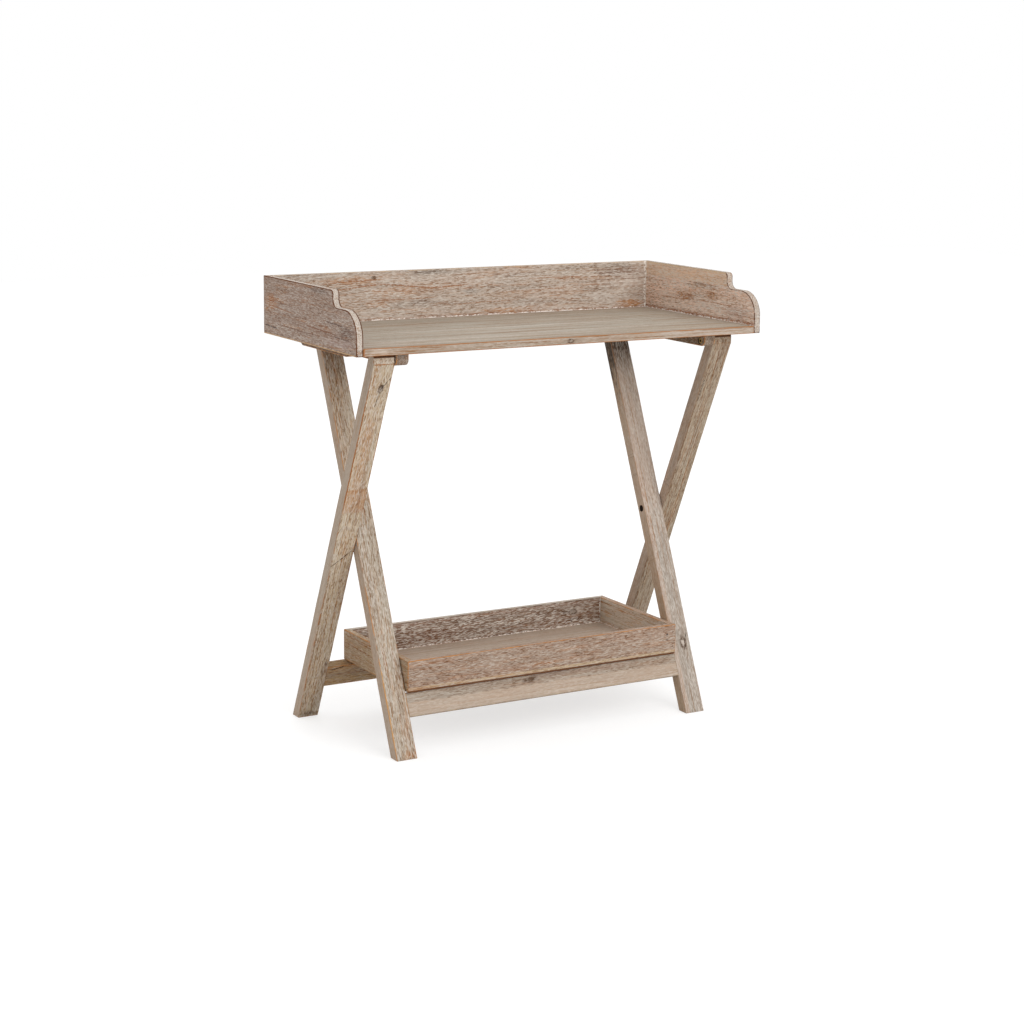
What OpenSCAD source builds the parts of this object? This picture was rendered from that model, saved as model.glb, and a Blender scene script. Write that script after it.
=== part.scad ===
/* [Overall] */
// Width over the two gallery ends
table_w = 800; // [720:10:900]
// Depth of the top, front edge to back face
table_d = 360; // [345:5:400]
// Height from the floor to the top edge of the gallery
table_h = 793; // [770:1:820]

/* [Gallery top] */
// Height of the gallery boards, from their foot to their top edge
gallery_h = 100; // [92:1:115]
// Thickness of the end boards and the back board
board_t = 12.5; // [11:0.5:16]
// Thickness of the shelf panel
shelf_t = 13; // [12:0.5:18]
// Radius of the big rounding at the front of each end board
end_front_r = 43; // [30:1:46]
// Drop from the gallery's top edge to the low step of the end boards
end_step_drop = 28; // [22:1:32]
// Radius of the hollow between the step and the upright edge
end_cove_r = 14; // [8:1:18]
// Radius of the small rounding at the front of the top edge
end_nose_r = 8; // [4:1:10]
// Distance from the front edge of the top to the upright edge
end_step_setback = 86; // [76:1:100]

/* [Legs] */
// Width of a leg, across the table
leg_w = 39; // [34:1:44]
// Thickness of a leg, measured square to its length
leg_t = 22; // [20:0.5:26]
// Distance from the end of the table to the outer leg
leg_inset = 43.4; // [36:0.2:50]
// Lean of the outer legs from upright, in degrees
outer_lean = 23.9; // [22.6:0.1:24.4]
// Lean of the inner legs from upright, in degrees
inner_lean = 23.3; // [22:0.1:24.4]
// Height of the crossing bolt above the floor
pivot_z = 352.5; // [340:0.5:365]
// Gap between an outer leg and an inner leg, filled by a washer
leg_gap = 1.3; // [1:0.1:2]
// Radius of the rounded head of an outer leg
leg_head_r = 12; // [11.5:0.1:12.1]
// Distance from the hinge bolt to the upright cut on the head of an outer leg
leg_facet = 9.6; // [8:0.1:11]

/* [Rails] */
// Height of a rail, measured along the legs
rail_h = 42; // [34:1:48]
// Thickness of a rail
rail_t = 18; // [14:0.5:20]
// Height of the lower tray's underside above the floor
tray_rest_z = 105; // [95:1:120]
// Diameter of the round crossbar between the inner leg tops
rod_d = 12; // [10:0.5:12]
// Drop from the underside of the top to the middle of the crossbar
rod_drop = 15; // [14:0.5:17]
// How far the crossbar stands out past each inner leg
rod_end = 11; // [8:0.5:14]

/* [Cleats] */
// Width of a cleat or batten
cleat_w = 22.4; // [21:0.2:24]
// Height of a cleat or batten
cleat_h = 21.5; // [20:0.5:23]
// Length of a front cleat
cleat_len = 180; // [168:1:190]
// Length of a rear batten
batten_len = 180; // [160:1:190]
// Distance from the hinge bolt to the front end of a cleat
cleat_nose = 14.6; // [12:0.2:18]
// Distance from the crossbar to the back end of a batten
batten_tail = 20; // [16:0.5:24]
// Radius of the rounded lower corner of a cleat or batten
cleat_round = 11; // [6:0.5:14]
// Drop from the underside of the top to the hinge bolts
hinge_drop = 12.5; // [12.3:0.1:13]

/* [Lower tray] */
// Height of the lower tray
tray_h = 55; // [45:1:65]
// Thickness of the lower tray's boards
tray_t = 11; // [9:0.5:13]
// Thickness of the lower tray's bottom panel
tray_bottom_t = 6; // [4:0.5:9]
// Gap between the lower tray and the inner legs, at each end
tray_side_gap = 1.8; // [1.4:0.1:4]
// How far the lower tray reaches in front of the front rail's edge
tray_front_over = 5.5; // [2:0.5:12]
// How far the lower tray reaches behind the back rail's edge
tray_back_over = 1.5; // [1:0.5:8]

/* [Fasteners] */
// Diameter of the crossing and hinge bolts
bolt_d = 6; // [5:0.5:8]
// Diameter of a bolt head
bolt_head_d = 10; // [9:0.5:11]
// Height of a bolt head
bolt_head_h = 6; // [4:0.5:7]
// Width across the flats of the socket in a bolt head
bolt_socket = 5; // [3:0.5:6]
// Depth of the socket in a bolt head
bolt_socket_in = 3.5; // [2:0.5:3.5]
// Diameter of the recess that takes a bolt head
recess_d = 12; // [11.5:0.5:14]
// Depth of the recess in an inner leg
leg_recess = 14; // [10:0.5:18]
// Depth of the recess in a front cleat
cleat_recess = 8.5; // [8:0.5:10]
// Thickness of the washer under a bolt head
washer_t = 1; // [0.8:0.1:1.5]
// Diameter of the washer under a bolt head
washer_d = 11; // [10.5:0.5:11.5]
// Diameter of the washer between two crossing legs
spacer_d = 18; // [14:1:20]
// Outer diameter of a threaded insert
insert_d = 10; // [9:0.5:12]
// Length of a threaded insert
insert_len = 15; // [12:0.5:20]
// Diameter of a rail dowel
rail_dowel_d = 8; // [6:0.5:10]
// Distance between the two dowels at a rail's end
rail_dowel_pitch = 22; // [18:1:26]
// Depth of a rail dowel in the leg, and in the rail
rail_dowel_in = 18; // [12:1:22]
// Diameter of a gallery dowel
board_dowel_d = 6; // [5:0.5:7]
// Depth of a gallery dowel in the end board
board_dowel_out = 8; // [6:0.5:9]
// Depth of a gallery dowel in the shelf or the back board
board_dowel_in = 16; // [12:1:24]
// Distance from the front and back edges of the shelf to its outer dowels
shelf_dowel_edge = 50; // [35:1:70]
// Height of the low dowel in the back board, above its foot
back_dowel_low = 30; // [22:1:40]
// Distance from the back board's top edge to its high dowel
back_dowel_high = 25; // [12:1:35]
// Diameter of a wood screw's shank
screw_d = 4; // [3:0.5:4.5]
// Diameter of a wood screw's head
screw_head_d = 8; // [7:0.5:9]
// Length of the screws in the cleats and battens
cleat_screw_len = 30; // [26:0.5:31]
// Distance from the rounded end of a cleat or batten to its first screw
cleat_screw_far = 50; // [46:1:70]
// Distance from the square end of a cleat or batten to its last screw
cleat_screw_near = 15; // [10:1:40]
// Length of the screws in the back board
back_screw_len = 40; // [30:1:50]
// Distance from the end of the back board to its first screw
back_screw_edge = 47.5; // [30:0.5:60]
// Distance from the lower tray's edges to its corner nails
nail_edge = 14; // [8:1:20]
// Diameter of a nail in the lower tray's corners
nail_d = 1.6; // [1.2:0.1:2.2]
// Diameter of a nail's head
nail_head_d = 3.4; // [2.6:0.1:4]
// Length of a nail in the lower tray's corners
nail_len = 28; // [20:1:40]

/* [Fits] */
// Radial play of a bolt in the wood that turns on it
run_play = 0.06; // [0.02:0.01:0.09]
// Radial play of a dowel, screw or insert in its hole
glue_play = 0.05; // [0.02:0.01:0.1]
// Gap between flat faces that slide on each other
slip_gap = 0.2; // [0.1:0.05:0.4]
// Gap round the crossbar in its notch
notch_play = 0.4; // [0.3:0.05:0.6]
// Gap between the end of the crossbar and the end of its notch
notch_end_gap = 0.8; // [0.3:0.1:2]

/* [Hidden] */
$fn = 48;

far = 1000;
eps = 0.01;
half_w = table_w / 2;
half_d = table_d / 2;
under_z = table_h - gallery_h;
shelf_half = half_w - board_t;
back_front_y = half_d - board_t;

// Places across the table, on the right-hand side
outer_out_x = half_w - leg_inset;
outer_in_x = outer_out_x - leg_w;
inner_out_x = outer_in_x - leg_gap;
inner_in_x = inner_out_x - leg_w;
cleat_out_x = outer_in_x - slip_gap;
cleat_in_x = cleat_out_x - cleat_w;
batten_in_x = outer_in_x;
batten_out_x = batten_in_x + cleat_w;
rod_half = inner_out_x + rod_end;

// Hinge bolt and crossbar, seen from the side
hinge_z = under_z - hinge_drop;
hinge_y = -(hinge_z - pivot_z) * tan(outer_lean);
hinge_s = (hinge_z - pivot_z) / cos(outer_lean);
rod_z = under_z - rod_drop;
rod_y = (rod_z - pivot_z) * tan(inner_lean);
rod_s = (rod_z - pivot_z) / cos(inner_lean);
rod_r = rod_d / 2;
notch_r = rod_r + notch_play;
// Half width of the slot below the round seat of the notch
slot_half = notch_r - 0.1;
// Direction in which the crossbar leaves its notch, from straight down
notch_slant = 29;

cleat_front_y = hinge_y - cleat_nose;
cleat_back_y = cleat_front_y + cleat_len;
batten_back_y = rod_y + batten_tail;
batten_front_y = batten_back_y - batten_len;
cleat_foot_z = under_z - cleat_h;

// Tops of the rails, measured down the legs from the crossing bolt
rail_edge_z = tray_rest_z - slip_gap;
front_rail_s = (rail_edge_z - pivot_z - leg_t / 2 * sin(inner_lean)) / cos(inner_lean);
back_rail_s = (rail_edge_z - pivot_z - leg_t / 2 * sin(outer_lean)) / cos(outer_lean);
front_rail_edge_y = -leg_t / 2 * cos(inner_lean) + front_rail_s * sin(inner_lean);
back_rail_edge_y = leg_t / 2 * cos(outer_lean) - back_rail_s * sin(outer_lean);
rail_mid = leg_t / 2 - rail_t / 2;

tray_half_w = inner_in_x - tray_side_gap;
tray_front_y = front_rail_edge_y - tray_front_over;
tray_back_y = back_rail_edge_y + tray_back_over;

bolt_r = bolt_d / 2;
screw_cone_h = (screw_head_d - screw_d) / 2;
screw_tip_d = 0.8;
// How far a bolt's tip stays inside its insert
bolt_tip_gap = 1;
screw_slot_w = 1;
screw_slot_len = screw_head_d * 0.6;
screw_slot_in = screw_cone_h * 0.7;
nail_head_h = 1;
// How far a cutting shape passes the face that it cuts
past = 1;

// Where the screws and dowels stand along the pieces that they hold
function spread(a, b, n) = [for (i = [0:n - 1]) a + (b - a) * i / (n - 1)];
cleat_screw_ys = spread(cleat_front_y + cleat_screw_far, cleat_back_y - cleat_screw_near, 3);
batten_screw_ys = spread(batten_front_y + cleat_screw_near, batten_back_y - cleat_screw_far, 3);
shelf_dowel_ys = spread(-half_d + shelf_dowel_edge, half_d - shelf_dowel_edge, 3);
back_dowel_zs = [under_z + back_dowel_low, table_h - back_dowel_high];
back_screw_xs = spread(-shelf_half + back_screw_edge, shelf_half - back_screw_edge, 5);
nail_zs = [tray_rest_z + nail_edge, tray_rest_z + tray_h - nail_edge];
cleat_mid = cleat_w / 2;

arc_steps = 12;
function arc(c, r, a, b) = [
  for (i = [0:arc_steps]) let (t = a + (b - a) * i / arc_steps) c + r * [cos(t), sin(t)]
];

wood_leg = "#b3a08b";
wood_board = "#a8907c";
wood_shelf = "#aaa08c";
wood_tray = "#b0927f";
wood_dowel = "#c9ad84";
steel = "#8a8c8e";
brass = "#b08d4c";

// Draws its children on the given side of the table, 1 for right and -1 for left
module on_side(side) {
  mirror([side < 0 ? 1 : 0, 0, 0]) children();
}

// Draws its children on both sides
module on_both() {
  for (side = [-1, 1]) on_side(side) children();
}

// Plane of the outer legs, with Z along them and the crossing bolt at zero
module outer_plane() {
  translate([0, 0, pivot_z]) rotate([outer_lean, 0, 0]) children();
}

// Plane of the inner legs, with Z along them and the crossing bolt at zero
module inner_plane() {
  translate([0, 0, pivot_z]) rotate([-inner_lean, 0, 0]) children();
}

// Cylinder along X, from x0 to x1
module rod_x(x0, x1, r) {
  translate([x0, 0, 0]) rotate([0, 90, 0]) cylinder(h = x1 - x0, r = r);
}

// Outline in the YZ plane, carried along X from x0 to x1
module slab_x(x0, x1) {
  translate([x0, 0, 0]) rotate([90, 0, 90]) linear_extrude(x1 - x0) children();
}

// Everything below the height z
module below(z) {
  translate([-far, -far, z - 2 * far]) cube(2 * far);
}

// Everything above the height z
module above(z) {
  translate([-far, -far, z]) cube(2 * far);
}

// Two dowels in a rail's end, wider and longer by the play
module rail_dowel_pair(s, mid, in_x, play) {
  for (k = [-0.5, 0.5])
    translate([0, mid, s - rail_h / 2 + k * rail_dowel_pitch])
      rod_x(in_x - rail_dowel_in - play, in_x + rail_dowel_in + play, rail_dowel_d / 2 + play);
}

// Bolt with a socket head, pointing to +X, with the underside of its head at zero
module socket_bolt(shank) {
  difference() {
    union() {
      rod_x(-bolt_head_h, 0, bolt_head_d / 2);
      rod_x(-eps, shank, bolt_r);
    }
    translate([-bolt_head_h - past, 0, 0]) rotate([0, 90, 0])
      cylinder(h = bolt_socket_in + past, d = bolt_socket / cos(30), $fn = 6);
  }
}

// Flat ring along X from x0 to x1
module ring_x(x0, x1, r_out, r_in) {
  difference() {
    rod_x(x0, x1, r_out);
    rod_x(x0 - past, x1 + past, r_in);
  }
}

// Countersunk wood screw, pointing to +Z, with its head flush at zero
module wood_screw(len) {
  difference() {
    union() {
      cylinder(h = screw_cone_h, d1 = screw_head_d, d2 = screw_d);
      cylinder(h = len - screw_d, d = screw_d);
      translate([0, 0, len - screw_d]) cylinder(h = screw_d, d1 = screw_d, d2 = screw_tip_d);
    }
    for (a = [0, 90]) rotate([0, 0, a])
      translate([-screw_slot_len / 2, -screw_slot_w / 2, -past])
        cube([screw_slot_len, screw_slot_w, past + screw_slot_in]);
  }
}

// Hole for that screw
module screw_hole(len) {
  translate([0, 0, -eps])
    cylinder(h = screw_cone_h + glue_play + eps, d1 = screw_head_d + 2 * glue_play + 2 * eps,
             d2 = screw_d + 2 * glue_play);
  cylinder(h = len + glue_play, d = screw_d + 2 * glue_play);
}

// Leg before its cuts, from below the floor to above the top
module leg_blank(x0) {
  translate([x0, -leg_t / 2, -far / 2]) cube([leg_w, leg_t, far]);
}

// What the rounded head of an outer leg loses, in the plane of the legs
module leg_head_waste() {
  translate([0, 0, hinge_s]) difference() {
    translate([0, -leg_t, 0]) cube([far, 2 * leg_t, far / 2]);
    rod_x(-past, far, leg_head_r);
  }
}

module outer_leg() {
  difference() {
    outer_plane() leg_blank(outer_in_x);
    below(0);
    outer_plane() leg_head_waste();
    translate([0, hinge_y - leg_facet - far, 0]) cube(far);
    outer_plane() rod_x(outer_in_x - past, outer_in_x + insert_len, insert_d / 2 + glue_play);
    outer_plane() translate([0, 0, hinge_s])
      rod_x(outer_in_x - past, outer_in_x + insert_len, insert_d / 2 + glue_play);
    outer_plane() rail_dowel_pair(back_rail_s, rail_mid, outer_in_x, glue_play);
  }
}

module outer_leg_left() color(wood_leg) on_side(-1) outer_leg();

module outer_leg_right() color(wood_leg) on_side(1) outer_leg();

module back_rail() color(wood_leg)
  difference() {
    outer_plane() translate([-outer_in_x, leg_t / 2 - rail_t, back_rail_s - rail_h])
      cube([2 * outer_in_x, rail_t, rail_h]);
    on_both() outer_plane() rail_dowel_pair(back_rail_s, rail_mid, outer_in_x, glue_play);
  }

module back_rail_dowels() color(wood_dowel)
  on_both() outer_plane() rail_dowel_pair(back_rail_s, rail_mid, outer_in_x, 0);

// Head side of the crossing bolt and of the hinge bolt
pivot_seat_x = inner_in_x + leg_recess;
hinge_seat_x = cleat_in_x + cleat_recess;
bolt_tip_x = outer_in_x + insert_len - bolt_tip_gap;

module pivot_bolt() {
  translate([pivot_seat_x - washer_t - slip_gap, 0, pivot_z])
    socket_bolt(bolt_tip_x - pivot_seat_x + washer_t + slip_gap);
}

module pivot_bolt_left() color(brass) on_side(-1) pivot_bolt();

module pivot_bolt_right() color(brass) on_side(1) pivot_bolt();

module hinge_bolt() {
  translate([hinge_seat_x - washer_t - slip_gap, hinge_y, hinge_z])
    socket_bolt(bolt_tip_x - hinge_seat_x + washer_t + slip_gap);
}

module hinge_bolt_left() color(brass) on_side(-1) hinge_bolt();

module hinge_bolt_right() color(brass) on_side(1) hinge_bolt();

module threaded_inserts() color(brass)
  on_both() outer_plane() for (s = [0, hinge_s]) translate([0, 0, s])
    ring_x(outer_in_x, outer_in_x + insert_len - glue_play, insert_d / 2, bolt_r + glue_play);

module bolt_washers() color(steel)
  on_both() {
    translate([0, 0, pivot_z])
      ring_x(pivot_seat_x - slip_gap - washer_t, pivot_seat_x - slip_gap, washer_d / 2, bolt_r + glue_play);
    translate([0, hinge_y, hinge_z])
      ring_x(hinge_seat_x - slip_gap - washer_t, hinge_seat_x - slip_gap, washer_d / 2, bolt_r + glue_play);
  }

module leg_spacer_washers() color(steel)
  on_both() translate([0, 0, pivot_z])
    ring_x(inner_out_x + slip_gap, outer_in_x, spacer_d / 2, bolt_r + glue_play);

module inner_leg() {
  difference() {
    inner_plane() leg_blank(inner_in_x);
    below(0);
    above(under_z - slip_gap);
    translate([0, 0, pivot_z]) {
      rod_x(inner_in_x - past, inner_out_x + past, bolt_r + run_play);
      rod_x(inner_in_x - past, inner_in_x + leg_recess, recess_d / 2);
    }
    translate([0, rod_y, rod_z]) rod_x(inner_in_x - past, inner_out_x + past, rod_r + glue_play);
    inner_plane() rail_dowel_pair(front_rail_s, -rail_mid, inner_in_x, glue_play);
  }
}

module inner_leg_left() color(wood_leg) on_side(-1) inner_leg();

module inner_leg_right() color(wood_leg) on_side(1) inner_leg();

module front_rail() color(wood_leg)
  difference() {
    inner_plane() translate([-inner_in_x, -leg_t / 2, front_rail_s - rail_h])
      cube([2 * inner_in_x, rail_t, rail_h]);
    on_both() inner_plane() rail_dowel_pair(front_rail_s, -rail_mid, inner_in_x, glue_play);
  }

module front_rail_dowels() color(wood_dowel)
  on_both() inner_plane() rail_dowel_pair(front_rail_s, -rail_mid, inner_in_x, 0);

module rest_crossbar() color(wood_dowel)
  translate([0, rod_y, rod_z]) rod_x(-rod_half, rod_half, rod_r);

// Dowels in one end of the shelf and the back board, wider and longer by the play
module end_dowel_set(play) {
  for (y = shelf_dowel_ys) translate([0, y, under_z + shelf_t / 2])
    rod_x(shelf_half - board_dowel_in - play, shelf_half + board_dowel_out + play, board_dowel_d / 2 + play);
  for (z = back_dowel_zs) translate([0, half_d - board_t / 2, z])
    rod_x(shelf_half - board_dowel_in - play, shelf_half + board_dowel_out + play, board_dowel_d / 2 + play);
}

// Places of the screws through the back board, pointing to the front
module at_back_screws() {
  for (x = back_screw_xs)
    translate([x, half_d, under_z + shelf_t / 2])
      rotate([90, 0, 0]) children();
}

// Places of the screws up through the front cleats
module at_cleat_screws() {
  on_both() for (y = cleat_screw_ys)
    translate([cleat_in_x + cleat_mid, y, cleat_foot_z]) children();
}

// Places of the screws up through the rear battens
module at_batten_screws() {
  on_both() for (y = batten_screw_ys)
    translate([batten_in_x + cleat_mid, y, cleat_foot_z]) children();
}

module shelf_panel() color(wood_shelf)
  difference() {
    translate([-shelf_half, -half_d, under_z]) cube([2 * shelf_half, back_front_y + half_d, shelf_t]);
    on_both() end_dowel_set(glue_play);
    at_back_screws() screw_hole(back_screw_len);
    at_cleat_screws() screw_hole(cleat_screw_len);
    at_batten_screws() screw_hole(cleat_screw_len);
  }

module back_board() color(wood_board)
  difference() {
    translate([-shelf_half, back_front_y, under_z]) cube([2 * shelf_half, board_t, gallery_h]);
    on_both() end_dowel_set(glue_play);
    at_back_screws() screw_hole(back_screw_len);
  }

// Side view of an end board: big front rounding, low step, hollow and upright edge
module end_outline() {
  step_z = table_h - end_step_drop;
  edge_y = -half_d + end_step_setback;
  polygon(concat(
    [[half_d, under_z], [-half_d, under_z]],
    arc([-half_d + end_front_r, step_z - end_front_r], end_front_r, 180, 90),
    arc([edge_y - end_cove_r, step_z + end_cove_r], end_cove_r, -90, 0),
    arc([edge_y + end_nose_r, table_h - end_nose_r], end_nose_r, 180, 90),
    [[half_d, table_h]]
  ));
}

module end_board() {
  difference() {
    slab_x(shelf_half, half_w) end_outline();
    end_dowel_set(glue_play);
  }
}

module left_end_board() color(wood_board) on_side(-1) end_board();

module right_end_board() color(wood_board) on_side(1) end_board();

module end_board_dowels() color(wood_dowel) on_both() end_dowel_set(0);

module back_board_screws() color(steel) at_back_screws() wood_screw(back_screw_len);

module cleat_screws() color(steel) at_cleat_screws() wood_screw(cleat_screw_len);

module batten_screws() color(steel) at_batten_screws() wood_screw(cleat_screw_len);

// Side view of a cleat from y0 to y1, rounded at the lower corner of its y0 end
module cleat_outline(y0, y1) {
  turn = y1 > y0 ? 1 : -1;
  polygon(concat(
    [[y1, under_z], [y0, under_z]],
    [for (p = arc([0, 0], cleat_round, 180, 270))
      [y0 + turn * (cleat_round + p[0]), cleat_foot_z + cleat_round + p[1]]],
    [[y1, cleat_foot_z]]
  ));
}

module front_cleat() {
  difference() {
    slab_x(cleat_in_x, cleat_out_x) cleat_outline(cleat_front_y, cleat_back_y);
    translate([0, hinge_y, hinge_z]) {
      rod_x(cleat_in_x - past, cleat_out_x + past, bolt_r + run_play);
      rod_x(cleat_in_x - past, cleat_in_x + cleat_recess, recess_d / 2);
    }
    at_cleat_screws() screw_hole(cleat_screw_len);
  }
}

module front_cleat_left() color(wood_leg) on_side(-1) front_cleat();

module front_cleat_right() color(wood_leg) on_side(1) front_cleat();

// Blind notch for the crossbar's end, open downwards and slanting to the front
module crossbar_notch() {
  start_x = batten_in_x - past;
  end_x = rod_half + notch_end_gap;
  translate([0, rod_y, rod_z]) {
    rod_x(start_x, end_x, notch_r);
    rotate([-notch_slant, 0, 0]) translate([start_x, -slot_half, -2 * cleat_h])
      cube([end_x - start_x, 2 * slot_half, 2 * cleat_h]);
  }
}

module rear_batten() {
  difference() {
    slab_x(batten_in_x, batten_out_x) cleat_outline(batten_back_y, batten_front_y);
    crossbar_notch();
    at_batten_screws() screw_hole(cleat_screw_len);
  }
}

module rear_batten_left() color(wood_leg) on_side(-1) rear_batten();

module rear_batten_right() color(wood_leg) on_side(1) rear_batten();

// Board of the lower tray along X, mitred at both ends, with its outer face at y
module tray_long_board(y, inward) {
  translate([0, 0, tray_rest_z]) linear_extrude(tray_h) polygon([
    [-tray_half_w, y], [tray_half_w, y],
    [tray_half_w - tray_t, y + inward * tray_t], [-tray_half_w + tray_t, y + inward * tray_t]
  ]);
}

// Two nails in each corner, driven in from the front and back faces
module at_tray_nails() {
  on_both() for (z = nail_zs) {
    translate([tray_half_w - tray_t / 2, tray_front_y, z]) rotate([-90, 0, 0]) children();
    translate([tray_half_w - tray_t / 2, tray_back_y, z]) rotate([90, 0, 0]) children();
  }
}

// Nail pointing to +Z, with its head flush at zero, wider and longer by the play
module nail(play) {
  translate([0, 0, -play]) cylinder(h = nail_head_h + 2 * play, r = nail_head_d / 2 + play);
  cylinder(h = nail_len + play, r = nail_d / 2 + play);
}

module tray_front_board() color(wood_tray)
  difference() {
    tray_long_board(tray_front_y, 1);
    at_tray_nails() nail(glue_play);
  }

module tray_back_board() color(wood_tray)
  difference() {
    tray_long_board(tray_back_y, -1);
    at_tray_nails() nail(glue_play);
  }

module tray_end_board() {
  difference() {
    translate([0, 0, tray_rest_z]) linear_extrude(tray_h) polygon([
      [tray_half_w, tray_front_y], [tray_half_w, tray_back_y],
      [tray_half_w - tray_t, tray_back_y - tray_t], [tray_half_w - tray_t, tray_front_y + tray_t]
    ]);
    at_tray_nails() nail(glue_play);
  }
}

module tray_left_board() color(wood_tray) on_side(-1) tray_end_board();

module tray_right_board() color(wood_tray) on_side(1) tray_end_board();

module tray_bottom() color(wood_tray)
  translate([-tray_half_w + tray_t, tray_front_y + tray_t, tray_rest_z])
    cube([2 * (tray_half_w - tray_t), tray_back_y - tray_front_y - 2 * tray_t, tray_bottom_t]);

module tray_nails() color(steel) at_tray_nails() nail(0);

outer_leg_left();
outer_leg_right();
back_rail();
back_rail_dowels();
pivot_bolt_left();
pivot_bolt_right();
hinge_bolt_left();
hinge_bolt_right();
threaded_inserts();
bolt_washers();
leg_spacer_washers();
inner_leg_left();
inner_leg_right();
front_rail();
front_rail_dowels();
rest_crossbar();
shelf_panel();
back_board();
left_end_board();
right_end_board();
front_cleat_left();
front_cleat_right();
rear_batten_left();
rear_batten_right();
cleat_screws();
batten_screws();
end_board_dowels();
back_board_screws();
tray_front_board();
tray_back_board();
tray_left_board();
tray_right_board();
tray_bottom();
tray_nails();
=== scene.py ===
"""Dresses the folding console table: limed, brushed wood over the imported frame."""

from functools import reduce
from math import cos, pi, radians, sin, sqrt, tan
from types import SimpleNamespace

import bmesh
import bpy
import numpy as np
from bpy.props import FloatProperty, FloatVectorProperty, IntProperty, PointerProperty
from mathutils import Matrix, Vector
from mathutils.geometry import delaunay_2d_cdt


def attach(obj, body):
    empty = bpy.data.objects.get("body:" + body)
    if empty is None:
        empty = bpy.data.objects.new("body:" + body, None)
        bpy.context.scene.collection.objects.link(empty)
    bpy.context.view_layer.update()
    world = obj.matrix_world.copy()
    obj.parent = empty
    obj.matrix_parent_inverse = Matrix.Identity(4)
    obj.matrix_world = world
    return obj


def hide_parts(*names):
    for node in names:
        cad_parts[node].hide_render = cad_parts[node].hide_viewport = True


bl_info = {
    "name": "Folding console table",
    "version": (1, 0, 0),
    "blender": (4, 5, 0),
    "location": "3D View > Sidebar > Console table",
    "description": "Limed wood pieces, metal finishes and a plain studio for the folding console table",
    "category": "Add Mesh",
}

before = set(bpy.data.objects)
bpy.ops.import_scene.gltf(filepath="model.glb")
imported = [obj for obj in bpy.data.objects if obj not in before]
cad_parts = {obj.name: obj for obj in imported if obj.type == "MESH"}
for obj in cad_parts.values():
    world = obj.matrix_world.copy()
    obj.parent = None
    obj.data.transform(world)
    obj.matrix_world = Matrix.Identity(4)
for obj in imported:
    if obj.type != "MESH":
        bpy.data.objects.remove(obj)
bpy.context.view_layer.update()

MM = 0.001

# Places and sizes of the construction, in metres, as in the part's source
BOARD_T = 12.5 * MM
SHELF_T = 13 * MM
HALF_W = 0.400
HALF_D = 0.180
TABLE_H = 0.793
UNDER_Z = 0.693
SHELF_HALF = HALF_W - BOARD_T
SHELF_TOP_Z = UNDER_Z + SHELF_T
BACK_FRONT_Y = HALF_D - BOARD_T
BACK_SCREW_EDGE = 47.5 * MM
END_FRONT_R = 43 * MM
END_STEP_Z = TABLE_H - 28 * MM
END_COVE_R = 14 * MM
END_NOSE_R = 8 * MM
END_EDGE_Y = -HALF_D + 86 * MM
SLIP_GAP = 0.2 * MM

LEG_W = 39 * MM
LEG_T = 22 * MM
PIVOT_Z = 0.3525
OUTER_LEAN = radians(23.9)
INNER_LEAN = radians(23.3)
OUTER_IN_X = 0.3176
OUTER_OUT_X = OUTER_IN_X + LEG_W
INNER_OUT_X = OUTER_IN_X - 1.3 * MM
INNER_IN_X = INNER_OUT_X - LEG_W
LEG_HEAD_R = 12 * MM
LEG_FACET = 9.6 * MM
LEG_TOP_Z = UNDER_Z - SLIP_GAP

HINGE_Z = UNDER_Z - 12.5 * MM
HINGE_Y = -(HINGE_Z - PIVOT_Z) * tan(OUTER_LEAN)
HINGE_S = (HINGE_Z - PIVOT_Z) / cos(OUTER_LEAN)
ROD_Z = UNDER_Z - 15 * MM
ROD_Y = (ROD_Z - PIVOT_Z) * tan(INNER_LEAN)
ROD_S = (ROD_Z - PIVOT_Z) / cos(INNER_LEAN)
ROD_R = 6 * MM
ROD_HOLE_R = ROD_R + 0.05 * MM
ROD_HALF = INNER_OUT_X + 11 * MM
ROD_CHAMFER = 0.8 * MM
ROD_STATIONS = 60

CLEAT_W = 22.4 * MM
CLEAT_FOOT_Z = UNDER_Z - 21.5 * MM
CLEAT_LEN = 180 * MM
CLEAT_ROUND = 11 * MM
CLEAT_OUT_X = OUTER_IN_X - SLIP_GAP
CLEAT_IN_X = CLEAT_OUT_X - CLEAT_W
CLEAT_FRONT_Y = HINGE_Y - 14.6 * MM
CLEAT_BACK_Y = CLEAT_FRONT_Y + CLEAT_LEN
BATTEN_IN_X = OUTER_IN_X
BATTEN_OUT_X = BATTEN_IN_X + CLEAT_W
BATTEN_BACK_Y = ROD_Y + 20 * MM
BATTEN_FRONT_Y = BATTEN_BACK_Y - CLEAT_LEN
SCREW_FAR = 50 * MM
SCREW_NEAR = 15 * MM
NOTCH_R = ROD_R + 0.4 * MM
NOTCH_HALF = NOTCH_R - 0.1 * MM
NOTCH_OVERLAP = 1.2 * MM
NOTCH_END_X = ROD_HALF + 0.8 * MM
NOTCH_SLANT = radians(29)

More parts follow.
